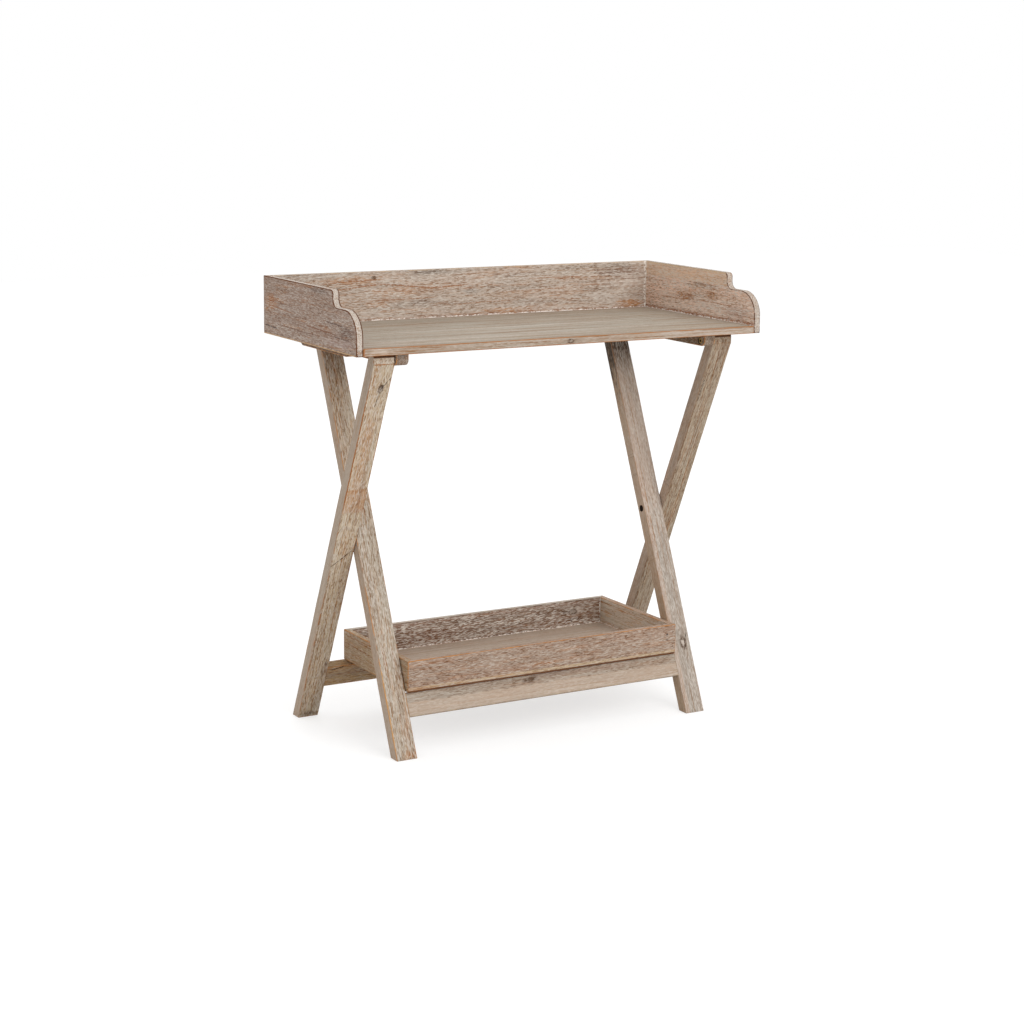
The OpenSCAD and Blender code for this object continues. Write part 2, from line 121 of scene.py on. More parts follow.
RAIL_H = 42 * MM
RAIL_T = 18 * MM
RAIL_EDGE_Z = 0.105 - SLIP_GAP
FRONT_RAIL_S = (RAIL_EDGE_Z - PIVOT_Z - LEG_T / 2 * sin(INNER_LEAN)) / cos(INNER_LEAN)
BACK_RAIL_S = (RAIL_EDGE_Z - PIVOT_Z - LEG_T / 2 * sin(OUTER_LEAN)) / cos(OUTER_LEAN)
FRONT_RAIL_EDGE_Y = -LEG_T / 2 * cos(INNER_LEAN) + FRONT_RAIL_S * sin(INNER_LEAN)
BACK_RAIL_EDGE_Y = LEG_T / 2 * cos(OUTER_LEAN) - BACK_RAIL_S * sin(OUTER_LEAN)
RAIL_MIDDLE = LEG_T / 2 - RAIL_T / 2
DOWEL_R = 4.05 * MM
DOWEL_IN = 18.05 * MM
DOWEL_PITCH = 22 * MM

TRAY_Z = 0.105
TRAY_TOP_Z = TRAY_Z + 55 * MM
TRAY_T = 11 * MM
TRAY_FLOOR_T = 6 * MM
TRAY_FLOOR_TOP_Z = TRAY_Z + TRAY_FLOOR_T
TRAY_HALF_W = INNER_IN_X - 1.8 * MM
TRAY_FRONT_Y = FRONT_RAIL_EDGE_Y - 5.5 * MM
TRAY_BACK_Y = BACK_RAIL_EDGE_Y + 1.5 * MM
NAIL_EDGE = 14 * MM
NAIL_X = TRAY_HALF_W - TRAY_T / 2
NAIL_HEAD_R = 1.75 * MM
NAIL_HEAD_IN = 1.05 * MM

SHAFT_R = 3.06 * MM
RECESS_R = 6 * MM
RECESS_CHAMFER = 0.4 * MM
LEG_RECESS = 14 * MM
CLEAT_RECESS = 8.5 * MM
INSERT_R = 5.05 * MM
INSERT_LEN = 15.05 * MM
SCREW_R = 2.05 * MM
SCREW_HEAD_R = 4.1 * MM
SCREW_HEAD_IN = 2.05 * MM
SCREW_DEPTH = 25 * MM
SCREW_SIDES = 24
CUT_PAST = 1 * MM
BACK_SCREWS = 5
CLEAT_SCREWS = 3
NAIL_GREY = (150, 128, 112)

# How the nets are built
CLEAT_ARRIS = 0.7 * MM
FLOOR_ARRIS = 0.4 * MM
ARRIS_LIMIT = 6 * MM
INNER_LIMIT = 3.0 * MM
SHORT_EDGE = 6 * MM
BY_CORNER = (0.2, 1.6)
CORNER_TURN = radians(20)
SMOOTH_TURN = radians(38)
ROUND_STEPS = 4
CORNER_STEPS = 4
DRIFT_HEIGHTS = 4096
WEAR_DRIFTS = ((0.65, 45 * MM, 0), (0.35, 11 * MM, 3))
SIDE_ROWS = (0.06, 0.18, 0.5)
ARRIS_SHARE = 0.45
FLAT_NEAR = 0.5 * MM
FLAT_LEAST = 0.7 * MM
FLAT_FAR = 1.6 * MM
FLAT_MOST = 2.2 * MM
SAME_PLACE = 1e-6
NO_LENGTH = 1e-7
NO_WIDTH = 0.00001
CDT_TRIANGLES_INSIDE = 1
CDT_SAME_PLACE = 1e-9


def screen_to_light(value):
    """Turns one screen value from 0 to 1 into the light value that shaders use, by the standard screen
    curve: a straight line up to 0.04045, and above it the power 2.4."""
    if value <= 0.04045:
        return value / 12.92
    return ((value + 0.055) / 1.055) ** 2.4


def lit(colour):
    """Screen colour from 0 to 255, as a shader colour."""
    return (*[screen_to_light(value / 255) for value in colour], 1.0)


def length_setting(name, description, default, low, high):
    """A length of the settings, given in millimetres."""
    return FloatProperty(name=name, description=description, default=default * MM, min=low * MM,
                         max=high * MM, unit="LENGTH", precision=5)


def colour_setting(name, description, *colour):
    """A colour of the settings, given as it reads on a screen, from 0 to 255."""
    return FloatVectorProperty(name=name, description=description, subtype="COLOR", size=3, min=0.0,
                               max=1.0, default=lit(colour)[:3])


class TableShape(bpy.types.PropertyGroup):
    """How the wood is worked: worn arrises, softened corners and the net's fineness."""

    leg_arris: length_setting("Leg arris", "Mean rounding of the legs' long edges", 1.2, 0.2, 1.9)
    board_arris: length_setting("Board arris", "Mean rounding of the boards' edges", 0.9, 0.2, 1.6)
    corner: length_setting("Corner", "Rounding of an outline's corners", 1.0, 0.3, 1.5)
    step: length_setting("Step", "Distance between the net's points along an edge", 5, 2, 20)
    wear: FloatProperty(
        name="Wear", description="How much the rounding varies along an edge",
        default=0.45, min=0.0, max=0.6, subtype="FACTOR")
    bore_sides: IntProperty(
        name="Bore sides", description="Sides of a round hole", default=40, min=12, max=64)


class TableColours(bpy.types.PropertyGroup):
    """The colours of the limed finish and of the metal."""

    lime: colour_setting("Lime", "White pigment that stays in the pores", 214, 205, 194)
    bare: colour_setting("Bare wood", "Orange wood that shows on worn arrises", 184, 126, 72)
    grey: colour_setting("Weathered grey", "Grey of the cloudy patches", 138, 128, 118)
    knot: colour_setting("Knot", "Dark wood of the knots", 84, 62, 46)
    crack: colour_setting("Crack", "Shadow in cracks and open joints", 46, 34, 26)
    dowel: colour_setting("Dowel wood", "Plain beech of the crossbar and the dowels", 201, 173, 132)
    brass: colour_setting("Brass", "Bolts and threaded inserts", 124, 98, 56)
    steel: colour_setting("Steel", "Screws, washers and nails", 138, 140, 142)


def shape():
    return bpy.context.scene.console_shape


def colours():
    return bpy.context.scene.console_colours


# Outlines, each a list of points that runs anticlockwise

def arc(centre, radius, start, end, steps=16):
    """Points on a circle: centre plus radius times the direction, from start to end degrees."""
    turn = np.radians(np.linspace(start, end, steps + 1))
    return np.array(centre) + radius * np.column_stack([np.cos(turn), np.sin(turn)])


def rectangle(low, high):
    """The four corners between a lowest and a highest point."""
    return np.array([low, (high[0], low[1]), high, (low[0], high[1])])


def outer_leg_outline():
    """Side view of an outer leg: floor cut, rounded head and upright facet, across and along it."""
    half = LEG_T / 2
    lean_sin, lean_cos = sin(OUTER_LEAN), cos(OUTER_LEAN)
    side_rise = sqrt(LEG_HEAD_R ** 2 - half ** 2)
    facet_half = sqrt(LEG_HEAD_R ** 2 - LEG_FACET ** 2)
    facet_top = (-LEG_FACET * lean_cos + facet_half * lean_sin,
                 LEG_FACET * lean_sin + facet_half * lean_cos)
    facet_foot = (LEG_FACET - half * lean_cos) / lean_sin
    start = np.degrees(np.arctan2(side_rise, half))
    end = np.degrees(np.arctan2(facet_top[1], facet_top[0]))
    foot = [(t, (-PIVOT_Z - t * lean_sin) / lean_cos) for t in (-half, half)]
    head = arc((0, HINGE_S), LEG_HEAD_R, start, end)
    return np.vstack([foot, head, [(-half, HINGE_S + facet_foot)]])


def inner_leg_outline():
    """Side view of an inner leg: cut level at the floor and under the top."""
    half = LEG_T / 2
    lean_sin, lean_cos = sin(INNER_LEAN), cos(INNER_LEAN)
    foot = [(t, (-PIVOT_Z + t * lean_sin) / lean_cos) for t in (-half, half)]
    head = [(t, (LEG_TOP_Z - PIVOT_Z + t * lean_sin) / lean_cos) for t in (half, -half)]
    return np.array(foot + head)


def end_board_outline():
    """Side view of an end board: big front rounding, low step, hollow and upright edge."""
    front = arc((END_EDGE_Y + END_NOSE_R, TABLE_H - END_NOSE_R), END_NOSE_R, 90, 180)
    hollow = arc((END_EDGE_Y - END_COVE_R, END_STEP_Z + END_COVE_R), END_COVE_R, 0, -90)
    big = arc((-HALF_D + END_FRONT_R, END_STEP_Z - END_FRONT_R), END_FRONT_R, 90, 180, 28)
    foot = [(-HALF_D, UNDER_Z), (HALF_D, UNDER_Z), (HALF_D, TABLE_H)]
    return np.vstack([front, hollow, big, foot])


def front_cleat_outline():
    """Side view of a front cleat, with its lower front corner rounded."""
    nose = arc((CLEAT_FRONT_Y + CLEAT_ROUND, CLEAT_FOOT_Z + CLEAT_ROUND), CLEAT_ROUND, 180, 270)
    rest = [(CLEAT_BACK_Y, CLEAT_FOOT_Z), (CLEAT_BACK_Y, UNDER_Z), (CLEAT_FRONT_Y, UNDER_Z)]
    return np.vstack([nose, rest])


def rear_batten_outline():
    """Side view of a rear batten, with its lower back corner rounded."""
    tail = arc((BATTEN_BACK_Y - CLEAT_ROUND, CLEAT_FOOT_Z + CLEAT_ROUND), CLEAT_ROUND, 270, 360)
    rest = [(BATTEN_BACK_Y, UNDER_Z), (BATTEN_FRONT_Y, UNDER_Z), (BATTEN_FRONT_Y, CLEAT_FOOT_Z)]
    return np.vstack([tail, rest])


# Frames, each the place of an outline's origin and its directions across, up and through

def placed(across, up, through, origin=(0, 0, 0)):
    """Matrix whose columns are the three directions, with the outline's origin."""
    return np.column_stack([across, up, through]), np.array(origin, float)


PIVOT = (0, 0, PIVOT_Z)
OUTER_UP = (0, -sin(OUTER_LEAN), cos(OUTER_LEAN))
INNER_UP = (0, sin(INNER_LEAN), cos(INNER_LEAN))
SIDE_VIEW = placed((0, 1, 0), (0, 0, 1), (1, 0, 0))
FRONT_VIEW = placed((1, 0, 0), (0, 0, 1), (0, -1, 0))
PLAN_VIEW = placed((1, 0, 0), (0, 1, 0), (0, 0, 1))
OUTER_SIDE = placed((0, cos(OUTER_LEAN), sin(OUTER_LEAN)), OUTER_UP, (1, 0, 0), PIVOT)
INNER_SIDE = placed((0, cos(INNER_LEAN), -sin(INNER_LEAN)), INNER_UP, (1, 0, 0), PIVOT)
OUTER_FACE = placed((1, 0, 0), OUTER_UP, (0, -cos(OUTER_LEAN), -sin(OUTER_LEAN)), PIVOT)
INNER_FACE = placed((1, 0, 0), INNER_UP, (0, -cos(INNER_LEAN), sin(INNER_LEAN)), PIVOT)

# Which of an outline's directions the grain runs along, lies across and goes through
GRAIN_ACROSS = (0, 1, 2)
GRAIN_UP = (1, 2, 0)
GRAIN_CLEAT = (0, 2, 1)


# Nets

def drift(length, seed, spacing):
    """Smooth wandering value from -1 to 1 along a length: seeded random heights, a spacing apart and
    joined by cosine curves."""
    heights = np.random.default_rng(seed).uniform(-1, 1, DRIFT_HEIGHTS)
    place = length / spacing
    low = np.floor(place).astype(int)
    share = (1 - np.cos((place - low) * pi)) / 2
    return heights[low % DRIFT_HEIGHTS] * (1 - share) + heights[(low + 1) % DRIFT_HEIGHTS] * share


def steps_between(start, stop, from_corner, to_corner, step):
    """Places of the points along an edge: two close to each sharp corner, and the rest a step apart."""
    room = stop - start > SHORT_EDGE
    near = [start + MM * k for k in BY_CORNER if from_corner and room]
    far = [stop - MM * k for k in reversed(BY_CORNER) if to_corner and room]
    low = near[-1] if near else start
    high = far[0] if far else stop
    count = int((high - low) / step)
    middle = list(low + (high - low) * np.arange(1, count) / count) if count > 1 else []
    return np.array(near + middle + far)


class Trace:
    """An outline walked in short steps, with its corners softened, ready to be inset.

    Up to the softening radius a point moves in along its own direction. Past it, the points of one
    corner meet and go on along the corner's bisector.
    """

    def __init__(self, outline, softness, step):
        before = outline - np.roll(outline, 1, 0)
        after = np.roll(outline, -1, 0) - outline
        before /= np.linalg.norm(before, axis=1)[:, None]
        length = np.linalg.norm(after, axis=1)
        after /= length[:, None]
        into_a = np.column_stack([-before[:, 1], before[:, 0]])
        into_b = np.column_stack([-after[:, 1], after[:, 0]])
        agree = (into_a * into_b).sum(1)
        bisector = (into_a + into_b) / (1 + agree)[:, None]
        turn = np.arccos(np.clip(agree, -1, 1))
        sharp = turn > CORNER_TURN
        cut = np.where(sharp, INNER_LIMIT * np.tan(turn / 2), 0)
        share = np.linspace(0, 1, CORNER_STEPS + 1)[:, None]
        rows = []
        for i, corner in enumerate(outline):
            if sharp[i]:
                ways = into_a[i] * (1 - share) + into_b[i] * share
                ways /= np.linalg.norm(ways, axis=1)[:, None]
                centre = corner + bisector[i] * softness
                first = np.arange(len(ways)) == 0
                rows.append((centre - ways * softness, ways, corner, bisector[i], first))
            else:
                rows.append((corner[None], bisector[i], corner, bisector[i], np.array([True])))
            j = (i + 1) % len(outline)
            places = steps_between(cut[i], length[i] - cut[j], sharp[i], sharp[j], step)
            if len(places):
                points = corner + after[i] * places[:, None]
                rows.append((points, into_b[i], points, into_b[i], np.ones(len(points), bool)))
        self.base, self.way, self.far, self.far_way = [
            np.vstack([np.broadcast_to(row[k], row[0].shape) for row in rows]) for k in range(4)]
        self.first = np.concatenate([row[4] for row in rows])
        self.softness = softness
        steps = np.linalg.norm(np.roll(self.base, -1, 0) - self.base, axis=1)
        run = np.concatenate([[0], np.cumsum(steps)[:-1]])
        self.run = run[self.first][np.cumsum(self.first) - 1]
        self.corners = outline[sharp]
        self.outline = outline

    def inset(self, depth):
        """The outline moved in by depth, one value or one for each point."""
        depth = np.broadcast_to(depth, len(self.base))[:, None]
        near = self.base + self.way * depth
        return np.where(depth <= self.softness, near, self.far + self.far_way * depth)


def distance_to_outline(points, outline):
    """Least distance from each point to the outline's edges: to the nearest place on each edge."""
    least = np.full(len(points), np.inf)
    for start, end in zip(outline, np.roll(outline, -1, 0)):
        edge = end - start
        share = np.clip((points - start) @ edge / (edge @ edge), 0, 1)
        least = np.minimum(least, np.linalg.norm(points - start - share[:, None] * edge, axis=1))
    return least


def round_hole(across, up, rings, high=False, through=False):
    """A hole from one flat face: rings of (radius, depth), blind or out through the other face."""
    return SimpleNamespace(centre=np.array([across, up]), rings=rings, high=high, through=through)


def softened_hole(across, up, radius, depth, high=False, shaft=0.0, end=0.0):
    """A recess with a small chamfer on its rim, and a shaft on through the piece where one is given."""
    rings = [(radius + RECESS_CHAMFER, 0.0), (radius, RECESS_CHAMFER), (radius, depth)]
    if shaft:
        rings += [(shaft, depth), (shaft, end)]
    return round_hole(across, up, rings, high, bool(shaft))


def band(low, high, over=False):
    """Quads between two rings of point numbers, facing the other way where they are turned over."""
    quads = np.column_stack([low, np.roll(low, -1), np.roll(high, -1), high])
    return quads[:, [0, 3, 2, 1]] if over else quads


def fill_between(points, loops, upwards):
    """Triangles that fill a flat face inside its outer loop and outside the other, round loops, so the
    triangles with all three corners on one round loop are left out."""
    index = np.concatenate(loops)
    owner = np.repeat(np.arange(len(loops)), [len(loop) for loop in loops])
    edges = []
    start = 0
    for loop in loops:
        edges += [(start + i, start + (i + 1) % len(loop)) for i in range(len(loop))]
        start += len(loop)
    flat = [Vector(place) for place in points[index][:, :2].tolist()]
    _, _, faces, kept, _, _ = delaunay_2d_cdt(flat, edges, [], CDT_TRIANGLES_INSIDE, CDT_SAME_PLACE)
    if len(kept) != len(index) or any(len(same) != 1 for same in kept):
        raise RuntimeError("a hole's rim touches the arris of its board")
    fill = np.array([same[0] for same in kept])[np.array(faces)]
    owners = owner[fill]
    in_hole = (owners[:, 0] > 0) & (owners[:, 0] == owners[:, 1]) & (owners[:, 1] == owners[:, 2])
    fill = index[fill[~in_hole]]
    corner = points[fill][:, :, :2]
    one, two = corner[:, 1] - corner[:, 0], corner[:, 2] - corner[:, 0]
    turns_left = one[:, 0] * two[:, 1] > one[:, 1] * two[:, 0]
    return np.where((turns_left == upwards)[:, None], fill, fill[:, ::-1])


def slab_rows(trace, low, high, arris, seed):
    """Inset and height of each row of a board's net, from its low flat face to its high one.

    On an arris a row is the outline inset by r * (1 - cos t) at the depth r * (1 - sin t) below the
    flat face, for t from 90 to 0 degrees, where r wanders along the edge. Two insets on the flat face
    come before, and rows down the side after.
    """
    half = (high - low) / 2
    rows = []
    for side in (0, 1):
        wander = sum(share * drift(trace.run, seed * 7 + side + extra, spacing)
                     for share, spacing, extra in WEAR_DRIFTS)
        r = np.minimum(arris * (1 + shape().wear * wander), half * ARRIS_SHARE)
        flat = np.zeros(len(r))
        innermost = np.maximum(r + FLAT_LEAST, np.minimum(r + FLAT_FAR, FLAT_MOST))
        face = [(innermost, flat), (r + FLAT_NEAR, flat)]
        for k in range(ROUND_STEPS + 1):
            t = pi / 2 * (1 - k / ROUND_STEPS)
            face.append((r * (1 - cos(t)), r * (1 - sin(t))))
        face += [(flat, r + (half - r) * share) for share in SIDE_ROWS]
        if side == 0:
            rows += [(inset, low + depth) for inset, depth in face]
            rows.append((flat, low + half + flat))
        else:
            rows += [(inset, high - depth) for inset, depth in reversed(face)]
    return rows


def slab_mesh(trace, low, high, arris, seed, holes=(), mitre=0):
    """Net of a board: the outline carried from low to high, with worn, rounded arrises. The flat faces
    are filled between their innermost row and the rims of the holes."""
    rows = slab_rows(trace, low, high, arris, seed)
    count = len(trace.base)
    ring = np.arange(count)
    points = [np.column_stack([trace.inset(inset), height]) for inset, height in rows]
    quads = [band(row * count + ring, (row + 1) * count + ring) for row in range(len(rows) - 1)]
    triangles = []
    start = count * len(rows)
    sides = shape().bore_sides
    turn = np.linspace(0, 2 * pi, sides, endpoint=False)
    circle = np.column_stack([np.cos(turn), np.sin(turn)])
    rims = {False: [], True: []}
    for hole in holes:
        rings = []
        for radius, depth in hole.rings:
            height = high - depth if hole.high else low + depth
            points.append(np.column_stack([hole.centre + circle * radius, np.full(sides, height)]))
            rings.append(start + np.arange(sides))
            start += sides
        for outer, inner in zip(rings, rings[1:]):
            wall = band(outer, inner, over=True)
            quads.append(wall[:, ::-1] if hole.high else wall)
        rims[hole.high].append(rings[0])
        if hole.through:
            rims[not hole.high].append(rings[-1])
        else:
            points.append(np.append(hole.centre, height)[None])
            fan = [rings[-1], np.roll(rings[-1], -1), np.full(sides, start)]
            triangles.append(np.column_stack(fan[::-1] if hole.high else fan))
            start += 1
    points = np.vstack(points)
    for is_high, row in ((False, 0), (True, len(rows) - 1)):
        triangles.append(fill_between(points, [row * count + ring[trace.first]] + rims[is_high], is_high))
    if mitre:
        depth = (high - points[:, 2]) if mitre > 0 else (points[:, 2] - low)
        left, right = trace.outline[:, 0].min(), trace.outline[:, 0].max()
        middle, reach = (right + left) / 2, (right - left) / 2
        points[:, 0] = middle + (points[:, 0] - middle) * (1 - depth / reach)
    return points, np.vstack(quads).tolist() + np.vstack(triangles).tolist()


def finish_mesh(mesh):
    """Merges doubles, turns the faces outwards and smooths all but the hard edges."""
    net = bmesh.new()
    net.from_mesh(mesh)
    bmesh.ops.remove_doubles(net, verts=net.verts, dist=SAME_PLACE)
    bmesh.ops.dissolve_degenerate(net, edges=net.edges, dist=NO_LENGTH)
    bmesh.ops.recalc_face_normals(net, faces=net.faces)
    open_edges = sum(1 for edge in net.edges if not edge.is_manifold)
    volume = net.calc_volume(signed=True)
    net.to_mesh(mesh)
    net.free()
    if open_edges or volume <= 0:
        raise RuntimeError(f"{mesh.name} isn't closed: {open_edges} open edges, volume {volume}")
    mesh.shade_smooth()
    mesh.set_sharp_from_angle(angle=SMOOTH_TURN)


def store(mesh, name, values):
    """Keeps one value or one vector for each point, as an attribute that the finishes read."""
    kind, field = ("FLOAT_VECTOR", "vector") if values.ndim > 1 else ("FLOAT", "value")
    mesh.attributes.new(name, kind, "POINT").data.foreach_set(field, values.astype(np.float32).ravel())


def mark_board(mesh, placing, trace, low, high, grain):
    """Stores where each point lies in its board, along, across and through the grain, and its distance
    from the nearest arris: the larger of the inset from the outline, and the smaller of the depth below
    a flat face and the distance from a corner. The edge value is 1 round the outline and 0 on the
    two flat faces."""
    turn, origin = placing
    points = np.empty(len(mesh.vertices) * 3, np.float32)
    mesh.vertices.foreach_get("co", points)
    local = (points.reshape(-1, 3) - origin) @ turn
    inset = distance_to_outline(local[:, :2], trace.outline)
    depth = np.minimum(local[:, 2] - low, high - local[:, 2])
    corner = np.full(len(local), np.inf)
    for place in trace.corners:
        corner = np.minimum(corner, np.linalg.norm(local[:, :2] - place, axis=1))
    store(mesh, "board", local[:, list(grain)])
    store(mesh, "arris", np.clip(np.maximum(inset, np.minimum(depth, corner)), 0, ARRIS_LIMIT))
    store(mesh, "edge", depth / (depth + inset + SAME_PLACE))


def carve(piece, cutters):
    """Takes the cutters' solids out of a piece, which gets the resulting mesh."""
    for cutter in cutters:
        cut = piece.modifiers.new("carve", "BOOLEAN")
        cut.operation = "DIFFERENCE"
        cut.solver = "EXACT"
        cut.object = cutter
    bpy.context.view_layer.update()
    seen = piece.evaluated_get(bpy.context.evaluated_depsgraph_get())
    carved = bpy.data.meshes.new_from_object(seen)
    piece.modifiers.clear()
    piece.data = carved
    for cutter in cutters:
        bpy.data.objects.remove(cutter)


def turned(profile, sides):
    """Points and faces of a turned shape: each (station, radius) of the profile swept round the first
    axis, with a flat end at each side."""
    turn = np.linspace(0, 2 * pi, sides, endpoint=False)
    station, radius = np.repeat(np.array(profile), sides, axis=0).T
    angle = np.tile(turn, len(profile))
    points = np.column_stack([station, radius * np.cos(angle), radius * np.sin(angle)])
    rings = np.arange(len(points)).reshape(-1, sides)
    quads = np.vstack([band(low, high, over=True) for low, high in zip(rings, rings[1:])])
    return points, quads.tolist() + [rings[0].tolist(), rings[-1][::-1].tolist()]


def new_object(name, points, faces):
    mesh = bpy.data.meshes.new(name)
    mesh.from_pydata(points.tolist(), [], faces)
    mesh.validate()
    piece = bpy.data.objects.new(name, mesh)
    bpy.context.scene.collection.objects.link(piece)
    return piece


def dress(piece, node, body, material):
    """Gives a piece its material, and puts it in place of its CAD node, on the body that it rides on."""
    piece.data.materials.clear()
    piece.data.materials.append(material)
    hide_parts(node)
    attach(piece, body)


def board_piece(node, body, outline, placing, between, grain, arris, holes=(), mitre=0, cutters=()):
    """Makes one wooden piece: its outline, carried between two distances through its placing."""
    low, high = between
    trace = Trace(outline, shape().corner, shape().step)
    points, faces = slab_mesh(trace, low, high, arris, FINISHES[node]["seed"], holes, mitre)
    turn, origin = placing
    piece = new_object(node + "_limed", points @ turn.T + origin, faces)
    if cutters:
        finish_mesh(piece.data)
        carve(piece, cutters)
    finish_mesh(piece.data)
    mark_board(piece.data, placing, trace, low, high, grain)
    dress(piece, node, body, LimedWood(node).material)


# Shader wiring

MIX_FIRST, MIX_SECOND, MIX_RESULT = 6, 7, 2


class Wiring:
    """Places nodes in one tree and joins them."""

    def __init__(self, tree):
        self.tree = tree

    def feed(self, socket, value):
        if isinstance(value, bpy.types.NodeSocket):
            self.tree.links.new(value, socket)
        else:
            socket.default_value = value

    def add(self, kind, *values, **settings):
        """A node of one kind with its settings, and its first sockets fed with the values."""
        node = self.tree.nodes.new("ShaderNode" + kind)
        for name, value in settings.items():
            setattr(node, name, value)
        for socket, value in zip(node.inputs, values):
            self.feed(socket, value)
        return node

    def math(self, operation, *values):
        return self.add("Math", *values, operation=operation).outputs[0]

    def plus(self, first, second):
        return self.math("ADD", first, second)

    def minus(self, first, second):
        return self.math("SUBTRACT", first, second)

    def times(self, first, second):
        return self.math("MULTIPLY", first, second)

    def over(self, first, second):
        return self.math("DIVIDE", first, second)

    def times_plus(self, first, second, third):
        return self.math("MULTIPLY_ADD", first, second, third)

    def apart(self, first, second):
        """Distance between two values."""
        return self.math("ABSOLUTE", self.minus(first, second))

    def vector(self, operation, first, second):
        return self.add("VectorMath", first, second, operation=operation).outputs["Vector"]

    def length(self, *parts):
        return self.add("VectorMath", self.join(*parts), operation="LENGTH").outputs["Value"]

    def parts(self, vector):
        return self.add("SeparateXYZ", vector).outputs

    def join(self, *parts):
        return self.add("CombineXYZ", *parts).outputs[0]

    def noise(self, vector, detail=2.0, roughness=0.5, size=None):
        """Noise round 0.5, of a place in metres times a size in cycles per metre, where one is given."""
        node = self.add("TexNoise")
        self.feed(node.inputs["Vector"], self.vector("MULTIPLY", vector, size) if size else vector)
        node.inputs["Scale"].default_value = 1.0
        node.inputs["Detail"].default_value = detail
        node.inputs["Roughness"].default_value = roughness
        return node.outputs[0]

    def cells(self, vector):
        """Three random values for each cell of a cell pattern."""
        node = self.add("TexVoronoi")
        self.feed(node.inputs["Vector"], vector)
        node.inputs["Scale"].default_value = 1.0
        return self.parts(node.outputs["Color"])

    def rise(self, value, low, high, to_low=0.0, to_high=1.0):
        """Smooth step: to_low where the value is at low or before it, to_high at high or past it."""
        node = self.add("MapRange", value, low, high, to_low, to_high, interpolation_type="SMOOTHSTEP")
        return node.outputs[0]

    def blend(self, share, first, second, mode="MIX"):
        node = self.add("Mix", share, data_type="RGBA", blend_type=mode)
        self.feed(node.inputs[MIX_FIRST], first)
        self.feed(node.inputs[MIX_SECOND], second)
        return node.outputs[MIX_RESULT]

    def group(self, tree, **values):
        node = self.add("Group", node_tree=tree)
        for name, value in values.items():
            self.feed(node.inputs[name], value)
        return node.outputs


def shader_group(name, takes, gives):
    """An empty node group: its wiring, its inputs and its outputs. An input whose start is None is a
    vector, and all others are numbers."""
    tree = bpy.data.node_groups.new(name, "ShaderNodeTree")
    for title, start in takes.items():
        kind = "NodeSocketVector" if start is None else "NodeSocketFloat"
        socket = tree.interface.new_socket(title, in_out="INPUT", socket_type=kind)
        if start is not None:
            socket.default_value = start
    for title in gives:
        tree.interface.new_socket(title, in_out="OUTPUT", socket_type="NodeSocketFloat")
    start, end = tree.nodes.new("NodeGroupInput"), tree.nodes.new("NodeGroupOutput")
    return Wiring(tree), start.outputs, end.inputs


def made_once(title):
    """Makes a node group once in a file, and then finds it there by its title."""
    def keep(build):
        return lambda: bpy.data.node_groups.get(title) or build(title)
    return keep


# Grain drawn out along a board: cycles per metre along and across it, the noise's detail and roughness,
# and the values between which it rises
DRAWN_OUT = {
    "Broad": (2.5, 48.0, 2.0, 0.5, 0.32, 0.68),
    "Streaks": (4.0, 250.0, 2.0, 0.55, 0.34, 0.66),
    "Hairs": (6.0, 430.0, 1.0, 0.5, 0.6, 0.68),
    "Dashes": (85.0, 470.0, 1.5, 0.5, 0.52, 0.62),
}
# Short and long thin cells: cycles per metre along and across, and for each layer that picks among them
# which of a cell's three values it reads, and the values between which it rises
GRAIN_CELLS = (
    (160.0, 1100.0, {"Pits": (0, 0.42, 0.2), "Flecks": (1, 0.55, 0.75)}),
    (40.0, 430.0, {"Rust": (0, 0.66, 0.9)}),
)
HEART_DEPTH = 30 * MM
GRAIN_WANDER = 16 * MM


@made_once("Brushed grain")
def brushed_grain(title):
    """Grain in a board: growth rings by distance from the heart, and broad bands, streaks, hairs and
    dashes drawn out along it. Pits, flecks and rust are picked at random among thin cells."""
    w, takes, gives = shader_group(
        title, {"Board": None, "Shift": None, "Bend": 0.0},
        ("Broad", "Rings", "Streaks", "Hairs", "Dashes", "Pits", "Flecks", "Rust"))
    place = w.vector("ADD", takes["Board"], takes["Shift"])
    slow = w.noise(place, size=(2.6, 13.0, 13.0))
    wander = w.times(w.minus(slow, 0.5), GRAIN_WANDER)
    along, across, through = w.parts(place)[:3]
    side = w.plus(w.plus(across, wander), takes["Bend"])

    def stretched(run, spread):
        return w.join(w.times(along, run), w.times(side, spread), w.times(through, spread))

    heart = w.length(0.0, side, w.plus(through, HEART_DEPTH))
    rings = w.noise(w.join(w.times(heart, 420.0), w.times(along, 2.5), 0.0), 2.5, 0.55)
    w.feed(gives["Rings"], w.rise(rings, 0.36, 0.64))
    for layer, (run, spread, detail, roughness, low, high) in DRAWN_OUT.items():
        w.feed(gives[layer], w.rise(w.noise(stretched(run, spread), detail, roughness), low, high))
    for run, spread, layers in GRAIN_CELLS:
        cell = w.cells(stretched(run, spread))
        for layer, (value, low, high) in layers.items():
            w.feed(gives[layer], w.rise(cell[value], low, high))
    return w.tree


# Soft patches: where their noise starts, cycles per metre, detail, roughness, and the values between which
# they rise
PATCHES = {
    "Grey": ((0.0, 0.0, 0.0), (6.0, 44.0, 44.0), 2.0, 0.5, 0.5, 0.68),
    "Rosy": ((3.1, 1.7, 0.4), (5.0, 32.0, 32.0), 2.0, 0.5, 0.42, 0.64),
    "Orange": ((5.3, 0.9, 1.4), (9.0, 120.0, 120.0), 3.0, 0.6, 0.54, 0.68),
    "Brushed": ((1.3, 4.9, 2.2), (8.0, 56.0, 56.0), 2.0, 0.5, 0.36, 0.64),
}


